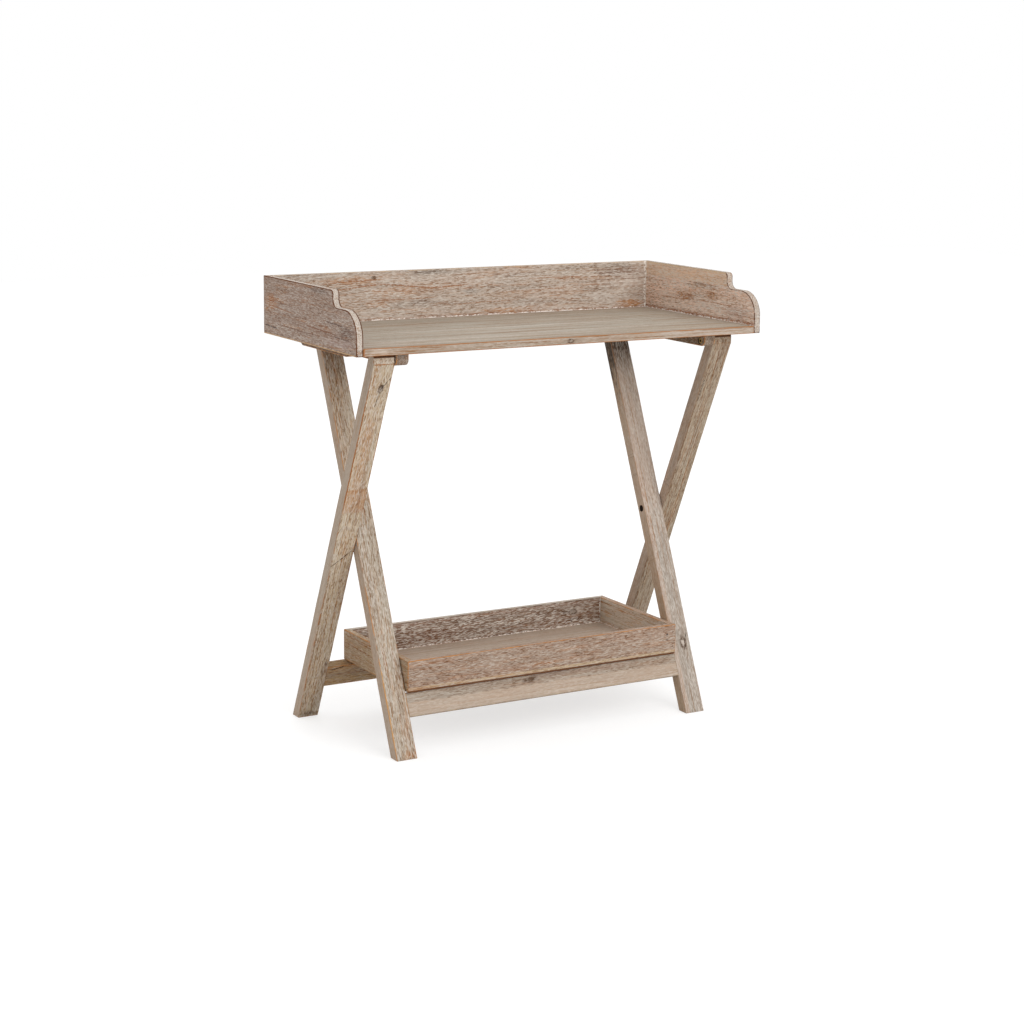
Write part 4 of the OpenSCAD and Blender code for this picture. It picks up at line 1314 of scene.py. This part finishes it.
               (-0.045, 0.723, 0.12, 0.04, 1.6, 3, (122, 78, 48), 0.8, 0),
               (-0.1, 0.738, 0.07, 0.03, 1.6, 3, (92, 68, 56), 0.75, 0),
               (-0.125, 0.717, 0.07, 0.02, 1.4, 3, (92, 68, 56), 0.7, 0),
               (0.15, 0.708, 0.06, 0.05, 1.3, 2, (80, 68, 62), 0.85, 0),
               (0.02, 0.762, 0.14, 0.0, 1.2, 4, (138, 98, 70), 0.6, 0),
               (0.11, 0.742, 0.12, 0.05, 1.3, 4, (140, 92, 58), 0.7, 0),
               (0.06, 0.713, 0.14, 0.02, 1.2, 3, (112, 84, 66), 0.6, 0),
               (-0.057, 0.7305, 0.05, -0.03, 1.3, 2, (124, 82, 52), 0.7, 0),
               (0.07, 0.73, 0.12, 0.02, 1.1, 2, (136, 98, 72), 0.5, 0)],
        joints=[(1, SHELF_TOP_Z, 1.8, -SHELF_HALF), (0, BACK_FRONT_Y, 1.6, -SHELF_HALF)],
        # Painted shade on the edges next to the inner face, along the shelf
        gaps=[(2, -SHELF_HALF - 2.1 * MM, -SHELF_HALF - 0.5 * MM, 1)]),
    "right_end_board": dict(
        # The near-white face colour is painted light, made for the inner face, which faces away from the
        # lamps.
        seed=10, face=(236, 213, 196), edge=(190, 180, 170), rim=(92, 56, 32), wash=(0.8, 0.8),
        depth=(1.3, 1.0), streaky=(0.75, 0.6), clouds=(0.15, 0.5, 0.3), bare=(0.95, 1.3, 0.6),
        bands=[(1, 0.768, 0.795, (222, 190, 156), 0.55, 0, 0.6),
               (1, SHELF_TOP_Z, SHELF_TOP_Z + 5 * MM, (166, 104, 58), 0.8, 0, 0.3)],
        stains=[(0.036, 0.7406, 0.034, 0.007, ORANGE_PATCH, 0.8, 0),
                (-0.049, 0.7487, 0.02, 0.008, ORANGE_PATCH, 0.85, 0),
                (-0.011, 0.7616, 0.055, 0.006, (150, 126, 102), 0.55, 0),
                (-0.13, 0.724, 0.045, 0.014, (188, 160, 148), 0.5, 0)],
        lines=[(0.043, TABLE_H - 0.8 * MM, 0.6, 0.0, 1.7, 0, (214, 186, 150), 0.9, 0),
               (-0.02, 0.766, 0.12, 0.02, 1.0, 2, (124, 96, 74), 0.7, 0),
               (0.06, 0.733, 0.12, -0.03, 0.9, 3, ORANGE_LINE, 0.75, 0),
               (-0.06, 0.735, 0.12, 0.02, 0.9, 3, ORANGE_LINE, 0.7, 0)],
        joints=[(1, SHELF_TOP_Z, 1.8, SHELF_HALF), (0, BACK_FRONT_Y, 1.6, SHELF_HALF)]),
    "front_cleat_left": dict(
        seed=11, face=(140, 118, 96), edge=(136, 114, 96), wash=(0.3, 0.4), depth=(0.8, 0.8),
        # Painted shade along the cleat's top, under the shelf
        gaps=[(2, UNDER_Z - 2.2 * MM, UNDER_Z, None)]),
    "front_cleat_right": dict(
        seed=12, face=(116, 92, 68), edge=(136, 116, 96), wash=(0.25, 0.4), depth=(0.8, 0.8),
        # Painted shade along the cleat's top, under the shelf
        gaps=[(2, UNDER_Z - 2.2 * MM, UNDER_Z, None)],
        # Painted shade in the bolt recess
        hollow=(0, HINGE_Y, 2, HINGE_Z, RECESS_R)),
    "rear_batten_left": dict(
        seed=13, face=(128, 102, 80), wash=(0.3, 0.5), depth=(0.8, 0.8)),
    "rear_batten_right": dict(
        seed=14, face=(128, 102, 80), wash=(0.3, 0.5), depth=(0.8, 0.8)),
    "tray_front_board": dict(
        seed=15, face=(168, 147, 130), wash=(0.42, 0.4), depth=(1.05, 0.7), streaky=(0.9, 0.7),
        clouds=(0.05, 0.6, 0.35), bare=(0.9, 1.4, 0.5),
        bands=[(1, TRAY_Z + 2.2 * MM, TRAY_Z + 7 * MM, (206, 182, 142), 0.5, 0, 0.3)],
        stains=[(0.2575, 0.1425, 0.0022, 0.0022, (74, 60, 54), 1.0, 0),
                (0.2575, 0.1325, 0.0018, 0.0018, (74, 60, 54), 1.0, 0)],
        joints=[(1, TRAY_FLOOR_TOP_Z, 1.4, -TRAY_FRONT_Y - TRAY_T)],
        # Painted shade along the foot of the tray's front
        gaps=[(1, TRAY_Z, TRAY_Z + 2.4 * MM, 0)]),
    "tray_back_board": dict(
        seed=16, face=(150, 131, 117), edge=(196, 188, 176), rim=(92, 68, 52), wash=(1.0, 0.4),
        depth=(1.4, 0.7), streaky=(0.8, 0.6), clouds=(0.15, 0.6, 0.2), bare=(0.7, 1.2, 0.5),
        knots=[(0.203, 0.1385, 5, 0.0, 0.0, KNOT_GREY)],
        bands=[(1, 0.152, 0.161, (186, 160, 146), 0.4, 0, 0.3)],
        stains=[(0.204, 0.14, 0.026, 0.009, (206, 198, 190), 0.95, 0),
                (0.205, 0.1225, 0.018, 0.004, (84, 52, 36), 0.85, 0),
                (0.185, 0.14, 0.01, 0.004, (96, 78, 66), 0.6, 0),
                (-0.105, 0.1306, 0.08, 0.012, (128, 92, 72), 0.5, 0)],
        joints=[(1, TRAY_FLOOR_TOP_Z, 1.6, TRAY_T - TRAY_BACK_Y),
                (0, TRAY_HALF_W - TRAY_T, 2.0, TRAY_T - TRAY_BACK_Y)]),
    "tray_left_board": dict(
        seed=17, face=(171, 150, 121), wash=(0.3, 0.4), depth=(0.5, 0.6), streaky=(1.3, 0.8),
        clouds=(0.1, 0.4, 0.5),
        joints=[(1, TRAY_FLOOR_TOP_Z, 1.4, TRAY_T - TRAY_HALF_W)]),
    "tray_right_board": dict(
        seed=18, face=(204, 192, 175), edge=(184, 162, 142), wash=(0.4, 0.4), depth=(0.6, 0.5),
        streaky=(1.4, 0.8), clouds=(0.1, 0.4, 0.5),
        joints=[(1, TRAY_FLOOR_TOP_Z, 1.4, TRAY_HALF_W - TRAY_T)]),
    "tray_bottom": dict(
        seed=19, face=(185, 170, 155), wash=(0.2, 0.3), depth=(0.3, 0.5), streaky=(0.9, 0.5),
        clouds=(0.1, 0.3, 0.1)),
}


# The pieces

SIDES = (("left", -1), ("right", 1))


def span(sign, inner, outer):
    """Lowest and highest X of a piece between two distances from the middle."""
    return (inner, outer) if sign > 0 else (-outer, -inner)


def dowel_holes(across, rail_edge, high):
    """The two blind holes for a rail's dowels, half their pitch to each side of the rail's middle."""
    return [softened_hole(across, rail_edge - RAIL_H / 2 + half * DOWEL_PITCH, DOWEL_R, DOWEL_IN, high)
            for half in (-0.5, 0.5)]


class CONSOLE_OT_outer_legs(bpy.types.Operator):
    """Makes the two outer legs, with the holes for their inserts and the back rail's dowels"""

    bl_idname = "console.outer_legs"
    bl_label = "Outer legs"

    def execute(self, context):
        for side, sign in SIDES:
            facing = sign < 0
            holes = [softened_hole(0, s, INSERT_R, INSERT_LEN, facing) for s in (0, HINGE_S)]
            holes += dowel_holes(RAIL_MIDDLE, BACK_RAIL_S, facing)
            board_piece(f"outer_leg_{side}", "outer_frame", outer_leg_outline(), OUTER_SIDE,
                        span(sign, OUTER_IN_X, OUTER_OUT_X), GRAIN_UP, shape().leg_arris, holes)
        return {"FINISHED"}


class CONSOLE_OT_inner_legs(bpy.types.Operator):
    """Makes the two inner legs, with their bolt recesses and the crossbar's holes"""

    bl_idname = "console.inner_legs"
    bl_label = "Inner legs"

    def execute(self, context):
        rod_rings = [(ROD_HOLE_R, 0.0), (ROD_HOLE_R, LEG_W)]
        for side, sign in SIDES:
            facing = sign < 0
            holes = [softened_hole(0, 0, RECESS_R, LEG_RECESS, facing, shaft=SHAFT_R, end=LEG_W),
                     round_hole(0, ROD_S, rod_rings, through=True)]
            holes += dowel_holes(-RAIL_MIDDLE, FRONT_RAIL_S, facing)
            board_piece(f"inner_leg_{side}", "inner_frame", inner_leg_outline(), INNER_SIDE,
                        span(sign, INNER_IN_X, INNER_OUT_X), GRAIN_UP, shape().leg_arris, holes)
        return {"FINISHED"}


class CONSOLE_OT_rails(bpy.types.Operator):
    """Makes the front rail and the back rail, tilted with the legs that they join"""

    bl_idname = "console.rails"
    bl_label = "Rails"

    def execute(self, context):
        half = LEG_T / 2
        for node, body, placing, width, top, between in (
            ("front_rail", "inner_frame", INNER_FACE, INNER_IN_X, FRONT_RAIL_S, (half - RAIL_T, half)),
            ("back_rail", "outer_frame", OUTER_FACE, OUTER_IN_X, BACK_RAIL_S, (-half, RAIL_T - half)),
        ):
            outline = rectangle((-width, top - RAIL_H), (width, top))
            board_piece(node, body, outline, placing, between, GRAIN_ACROSS,
                        shape().board_arris)
        return {"FINISHED"}


class CONSOLE_OT_crossbar(bpy.types.Operator):
    """Makes the turned crossbar between the inner legs' tops"""

    bl_idname = "console.crossbar"
    bl_label = "Crossbar"

    def execute(self, context):
        end_r = ROD_R - ROD_CHAMFER
        stations = np.linspace(-ROD_HALF + ROD_CHAMFER, ROD_HALF - ROD_CHAMFER, ROD_STATIONS)
        profile = [(-ROD_HALF, end_r), *[(x, ROD_R) for x in stations], (ROD_HALF, end_r)]
        points, faces = turned(profile, shape().bore_sides)
        piece = new_object("rest_crossbar_turned", points + np.array([0, ROD_Y, ROD_Z]), faces)
        finish_mesh(piece.data)
        dress(piece, "rest_crossbar", "inner_frame", dowel_wood())
        return {"FINISHED"}


class CONSOLE_OT_shelf(bpy.types.Operator):
    """Makes the shelf panel of the gallery top"""

    bl_idname = "console.shelf"
    bl_label = "Shelf panel"

    def execute(self, context):
        outline = rectangle((-SHELF_HALF, -HALF_D), (SHELF_HALF, BACK_FRONT_Y))
        board_piece("shelf_panel", "top", outline, PLAN_VIEW, (UNDER_Z, SHELF_TOP_Z),
                    GRAIN_ACROSS, shape().board_arris)
        return {"FINISHED"}


class CONSOLE_OT_gallery(bpy.types.Operator):
    """Makes the back board and the two shaped end boards"""

    bl_idname = "console.gallery"
    bl_label = "Gallery boards"

    def execute(self, context):
        arris = shape().board_arris
        reach = SHELF_HALF - BACK_SCREW_EDGE
        sunk = [(SCREW_HEAD_R, 0.0), (SCREW_R, SCREW_HEAD_IN), (SCREW_R, BOARD_T)]
        holes = [round_hole(x, UNDER_Z + SHELF_T / 2, sunk, through=True)
                 for x in np.linspace(-reach, reach, BACK_SCREWS)]
        outline = rectangle((-SHELF_HALF, UNDER_Z), (SHELF_HALF, TABLE_H))
        board_piece("back_board", "top", outline, FRONT_VIEW, (-HALF_D, -BACK_FRONT_Y),
                    GRAIN_ACROSS, arris, holes)
        for side, sign in SIDES:
            board_piece(f"{side}_end_board", "top", end_board_outline(), SIDE_VIEW,
                        span(sign, SHELF_HALF, HALF_W), GRAIN_ACROSS, arris)
        return {"FINISHED"}


def screw_cutter(x, y):
    """Cutter of a countersunk screw hole in the underside of a cleat or batten."""
    profile = [(-CUT_PAST, SCREW_HEAD_R), (0.05 * MM, SCREW_HEAD_R), (SCREW_HEAD_IN, SCREW_R),
               (SCREW_DEPTH, SCREW_R)]
    points, faces = turned(profile, SCREW_SIDES)
    points = np.column_stack([points[:, 1] + x, points[:, 2] + y, points[:, 0] + CLEAT_FOOT_Z])
    return new_object("screw_cutter", points, faces)


def notch_cutter(sign):
    """Cutter of the crossbar's notch: a round seat and a slanting slot below it."""
    foot = -2 * (UNDER_Z - CLEAT_FOOT_Z)
    slot = [(-NOTCH_HALF, -NOTCH_OVERLAP), (-NOTCH_HALF, foot), (NOTCH_HALF, foot),
            (NOTCH_HALF, -NOTCH_OVERLAP)]
    across, up = np.vstack([arc((0, 0), NOTCH_R, 0, 180, 24), slot]).T
    y = across * cos(NOTCH_SLANT) + up * sin(NOTCH_SLANT) + ROD_Y
    z = -across * sin(NOTCH_SLANT) + up * cos(NOTCH_SLANT) + ROD_Z
    points = [np.column_stack([np.full(len(y), sign * x), y, z])
              for x in (BATTEN_IN_X - CUT_PAST, NOTCH_END_X)]
    near = np.arange(len(y))
    far = near + len(y)
    faces = band(near, far).tolist() + [near[::-1].tolist(), far.tolist()]
    cutter = new_object("notch_cutter", np.vstack(points), faces)
    net = bmesh.new()
    net.from_mesh(cutter.data)
    bmesh.ops.recalc_face_normals(net, faces=net.faces)
    net.to_mesh(cutter.data)
    net.free()
    return cutter


class CONSOLE_OT_cleats(bpy.types.Operator):
    """Makes the front cleats with their bolt recesses, and the rear battens with their notches"""

    bl_idname = "console.cleats"
    bl_label = "Cleats and battens"

    def execute(self, context):
        cleat_screws = np.linspace(CLEAT_FRONT_Y + SCREW_FAR, CLEAT_BACK_Y - SCREW_NEAR, CLEAT_SCREWS)
        batten_screws = np.linspace(BATTEN_FRONT_Y + SCREW_NEAR, BATTEN_BACK_Y - SCREW_FAR, CLEAT_SCREWS)
        for side, sign in SIDES:
            low, high = span(sign, CLEAT_IN_X, CLEAT_OUT_X)
            recess = softened_hole(HINGE_Y, HINGE_Z, RECESS_R, CLEAT_RECESS, sign < 0, SHAFT_R, CLEAT_W)
            cutters = [screw_cutter((low + high) / 2, y) for y in cleat_screws]
            board_piece(f"front_cleat_{side}", "top", front_cleat_outline(), SIDE_VIEW,
                        (low, high), GRAIN_CLEAT, CLEAT_ARRIS, [recess], cutters=cutters)
            low, high = span(sign, BATTEN_IN_X, BATTEN_OUT_X)
            cutters = [screw_cutter((low + high) / 2, y) for y in batten_screws] + [notch_cutter(sign)]
            board_piece(f"rear_batten_{side}", "top", rear_batten_outline(), SIDE_VIEW,
                        (low, high), GRAIN_CLEAT, CLEAT_ARRIS, cutters=cutters)
        return {"FINISHED"}


class CONSOLE_OT_tray(bpy.types.Operator):
    """Makes the lower tray's four mitred boards and its bottom"""

    bl_idname = "console.tray"
    bl_label = "Lower tray"

    def execute(self, context):
        arris = shape().board_arris
        inner = TRAY_HALF_W - TRAY_T
        nail = [(NAIL_HEAD_R, 0.0), (NAIL_HEAD_R, NAIL_HEAD_IN)]
        outline = rectangle((-TRAY_HALF_W, TRAY_Z), (TRAY_HALF_W, TRAY_TOP_Z))
        for name, outer_y, inward in (("front", TRAY_FRONT_Y, 1), ("back", TRAY_BACK_Y, -1)):
            between = sorted((-outer_y, -(outer_y + inward * TRAY_T)))
            holes = [round_hole(x, z, nail, high=inward > 0) for x in (-NAIL_X, NAIL_X)
                     for z in (TRAY_Z + NAIL_EDGE, TRAY_TOP_Z - NAIL_EDGE)]
            board_piece(f"tray_{name}_board", "lower_tray", outline, FRONT_VIEW, between,
                        GRAIN_ACROSS, arris, holes, mitre=inward)
        outline = rectangle((TRAY_FRONT_Y, TRAY_Z), (TRAY_BACK_Y, TRAY_TOP_Z))
        for side, sign in SIDES:
            board_piece(f"tray_{side}_board", "lower_tray", outline, SIDE_VIEW,
                        span(sign, inner, TRAY_HALF_W), GRAIN_ACROSS, arris, mitre=sign)
        outline = rectangle((-inner, TRAY_FRONT_Y + TRAY_T), (inner, TRAY_BACK_Y - TRAY_T))
        board_piece("tray_bottom", "lower_tray", outline, PLAN_VIEW,
                    (TRAY_Z, TRAY_FLOOR_TOP_Z), GRAIN_ACROSS, FLOOR_ARRIS)
        return {"FINISHED"}


def shade_of(colour, share):
    """A colour of the settings, each of its values times a share."""
    return (*[value * share for value in colour], 1.0)


DOWEL_BEECH = "dowel_beech"


def dowel_wood():
    """Plain turned beech: straight fine grain along X and short dark flecks. A file has it once."""
    if DOWEL_BEECH in bpy.data.materials:
        return bpy.data.materials[DOWEL_BEECH]
    material, w, skin = new_material(DOWEL_BEECH)
    place = w.add("TexCoord").outputs["Object"]
    grain = w.noise(place, 3.0, 0.6, (25.0, 700.0, 700.0))
    flecks = w.noise(place, 1.0, size=(220.0, 1900.0, 1900.0))
    base = colours().dowel
    colour = w.blend(w.rise(grain, 0.35, 0.68), shade_of(base, 1), shade_of(base, 0.72))
    colour = w.blend(w.rise(flecks, 0.66, 0.74, 0.0, 0.6), colour, shade_of(base, 0.5))
    feed_skin(w, skin, colour, w.rise(grain, 0.3, 0.7, 0.55, 0.75), grain, 0.4, 0.15 * MM)
    return material


def metal(name, base, roughness, tarnish):
    """Worn metal: fine turning marks, soft dull patches and a darker tarnish in them."""
    material, w, skin = new_material(name)
    place = w.add("TexCoord").outputs["Object"]
    cloud = w.noise(place, 3.0, 0.6, (420.0, 420.0, 420.0))
    marks = w.noise(place, 1.0, size=(5200.0, 600.0, 600.0))
    dull = w.times(w.rise(cloud, 0.42, 0.7), tarnish)
    colour = w.blend(dull, shade_of(base, 1), shade_of(base, 0.45))
    skin.inputs["Metallic"].default_value = 1.0
    rough = w.rise(cloud, 0.35, 0.7, *roughness)
    feed_skin(w, skin, colour, rough, marks, 0.3, 0.05 * MM)
    return material


class CONSOLE_OT_fittings(bpy.types.Operator):
    """Gives the bolts, inserts, washers, screws, nails and dowels their finishes"""

    bl_idname = "console.fittings"
    bl_label = "Fittings"

    def execute(self, context):
        brass = metal("worn_brass", colours().brass, roughness=(0.28, 0.5), tarnish=0.6)
        steel = metal("zinc_steel", colours().steel, roughness=(0.3, 0.55), tarnish=0.4)
        brads = metal("limed_brads", lit(NAIL_GREY)[:3], roughness=(0.6, 0.85), tarnish=0.5)
        for material, nodes in (
            (brass, ("pivot_bolt_left", "pivot_bolt_right", "hinge_bolt_left", "hinge_bolt_right",
                     "threaded_inserts")),
            (steel, ("bolt_washers", "leg_spacer_washers", "cleat_screws", "batten_screws",
                     "back_board_screws")),
            (brads, ("tray_nails",)),
            (dowel_wood(), ("back_rail_dowels", "front_rail_dowels", "end_board_dowels")),
        ):
            for node in nodes:
                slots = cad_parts[node].data.materials
                slots.clear()
                slots.append(material)
        return {"FINISHED"}


# The photograph's camera, the floor and the lights

CAMERA_PLACE = (-1.9318, -3.2662, 1.1486)
CAMERA_AZIMUTH = radians(-30.588)
CAMERA_HEIGHT = radians(11.576)
CAMERA_ROLL = radians(0.7704)
CAMERA_LENS = 76.106
SENSOR = 36.0
CAMERA_END = 50
FLOOR_REACH = 8.0
FLOOR_LINES = 9
FLOOR_GREY = (0.8, 0.8, 0.8, 1)
FLOOR_SEEN_GREY = (0.45, 0.45, 0.45, 1)
FLOOR_GLOW = 0.64
WORLD_LIGHT = 0.86
LIGHT_AIM = (0, 0, 0.4)
LIGHTS = (
    ("key_light", (0.6, -3.6, 2.4), 2.8, 62.0),
    ("fill_light", (0.9, 3.2, 2.4), 2.2, 22.0),
)


def camera_matrix():
    """Camera axes from its bearing and height, then rolled about its line of sight."""
    level = cos(CAMERA_HEIGHT)
    back = Vector((sin(CAMERA_AZIMUTH) * level, -cos(CAMERA_AZIMUTH) * level, sin(CAMERA_HEIGHT)))
    right = (-back).cross(Vector((0, 0, 1))).normalized()
    up = right.cross(-back)
    rolled_right = right * cos(CAMERA_ROLL) + up * sin(CAMERA_ROLL)
    rolled_up = -right * sin(CAMERA_ROLL) + up * cos(CAMERA_ROLL)
    matrix = Matrix((rolled_right, rolled_up, back)).transposed().to_4x4()
    matrix.translation = Vector(CAMERA_PLACE)
    return matrix


def add_camera(scene):
    lens = bpy.data.cameras.new("photo_camera")
    lens.lens = CAMERA_LENS
    lens.sensor_width = SENSOR
    lens.sensor_fit = "HORIZONTAL"
    lens.clip_end = CAMERA_END
    camera = bpy.data.objects.new("photo_camera", lens)
    camera.matrix_world = camera_matrix()
    scene.collection.objects.link(camera)
    scene.camera = camera


def seen_mask(w):
    """1 for the rays that show a surface: camera, glossy and transmission rays. 0 for all others."""
    path = w.add("LightPath").outputs
    seen = w.math("MAXIMUM", path["Is Camera Ray"], path["Is Glossy Ray"])
    return w.math("MAXIMUM", seen, path["Is Transmission Ray"])


def add_floor():
    """A plain floor that is pale in light and shows as white, with a soft shadow."""
    steps = np.linspace(-FLOOR_REACH, FLOOR_REACH, FLOOR_LINES)
    across, along = np.meshgrid(steps, steps)
    points = np.column_stack([across.ravel(), along.ravel(), np.zeros(across.size)])
    index = np.arange(across.size).reshape(across.shape)
    corners = (index[:-1, :-1], index[:-1, 1:], index[1:, 1:], index[1:, :-1])
    faces = np.column_stack([corner.ravel() for corner in corners]).tolist()
    floor = new_object("studio_floor", points, faces)
    pale = bpy.data.materials.new("pale_floor")
    pale.use_nodes = True
    w = Wiring(pale.node_tree)
    w.tree.nodes.clear()
    seen = w.add("LightPath").outputs["Is Camera Ray"]
    matt = w.add("BsdfDiffuse", w.blend(seen, FLOOR_GREY, FLOOR_SEEN_GREY))
    glow = w.add("Emission")
    w.feed(glow.inputs["Strength"], w.times(seen_mask(w), FLOOR_GLOW))
    both = w.add("AddShader", matt.outputs[0], glow.outputs[0])
    w.add("OutputMaterial", both.outputs[0])
    floor.data.materials.append(pale)


def add_surroundings(scene):
    """White surroundings to look at, which light the table a little less than white would."""
    world = bpy.data.worlds.new("studio_world")
    scene.world = world
    world.use_nodes = True
    w = Wiring(world.node_tree)
    sky = next(node for node in w.tree.nodes if node.type == "BACKGROUND")
    sky.inputs["Color"].default_value = (1.0, 1.0, 1.0, 1.0)
    w.feed(sky.inputs["Strength"], w.rise(seen_mask(w), 0.0, 1.0, WORLD_LIGHT, 1.0))


class CONSOLE_OT_studio(bpy.types.Operator):
    """Sets up the camera, the pale floor, the soft lights and the white surroundings"""

    bl_idname = "console.studio"
    bl_label = "Studio"

    def execute(self, context):
        scene = context.scene
        add_camera(scene)
        scene.view_settings.view_transform = "Standard"
        add_floor()
        add_surroundings(scene)
        for name, place, size, power in LIGHTS:
            lamp = bpy.data.lights.new(name, "AREA")
            lamp.shape = "DISK"
            lamp.size = size
            lamp.energy = power
            holder = bpy.data.objects.new(name, lamp)
            aim = (Vector(LIGHT_AIM) - Vector(place)).to_track_quat("-Z", "Y").to_matrix().to_4x4()
            holder.matrix_world = Matrix.Translation(place) @ aim
            scene.collection.objects.link(holder)
        return {"FINISHED"}


class CONSOLE_PT_panel(bpy.types.Panel):
    """Lists the console table's pieces, sizes and colours"""

    bl_idname = "CONSOLE_PT_panel"
    bl_label = "Folding console table"
    bl_space_type = "VIEW_3D"
    bl_region_type = "UI"
    bl_category = "Console table"

    def draw(self, context):
        for operator in OPERATORS:
            self.layout.operator(operator.bl_idname)
        for settings in (context.scene.console_shape, context.scene.console_colours):
            for name in settings.__annotations__:
                self.layout.prop(settings, name)


OPERATORS = (
    CONSOLE_OT_outer_legs,
    CONSOLE_OT_inner_legs,
    CONSOLE_OT_rails,
    CONSOLE_OT_crossbar,
    CONSOLE_OT_shelf,
    CONSOLE_OT_gallery,
    CONSOLE_OT_cleats,
    CONSOLE_OT_tray,
    CONSOLE_OT_fittings,
    CONSOLE_OT_studio,
)


def register():
    for item in (TableShape, TableColours, *OPERATORS, CONSOLE_PT_panel):
        bpy.utils.register_class(item)
    bpy.types.Scene.console_shape = PointerProperty(type=TableShape)
    bpy.types.Scene.console_colours = PointerProperty(type=TableColours)


def unregister():
    del bpy.types.Scene.console_colours
    del bpy.types.Scene.console_shape
    for item in reversed((TableShape, TableColours, *OPERATORS, CONSOLE_PT_panel)):
        bpy.utils.unregister_class(item)


def main():
    register()
    for operator in OPERATORS:
        family, name = operator.bl_idname.split(".")
        getattr(getattr(bpy.ops, family), name)()


if __name__ == "__main__":
    main()
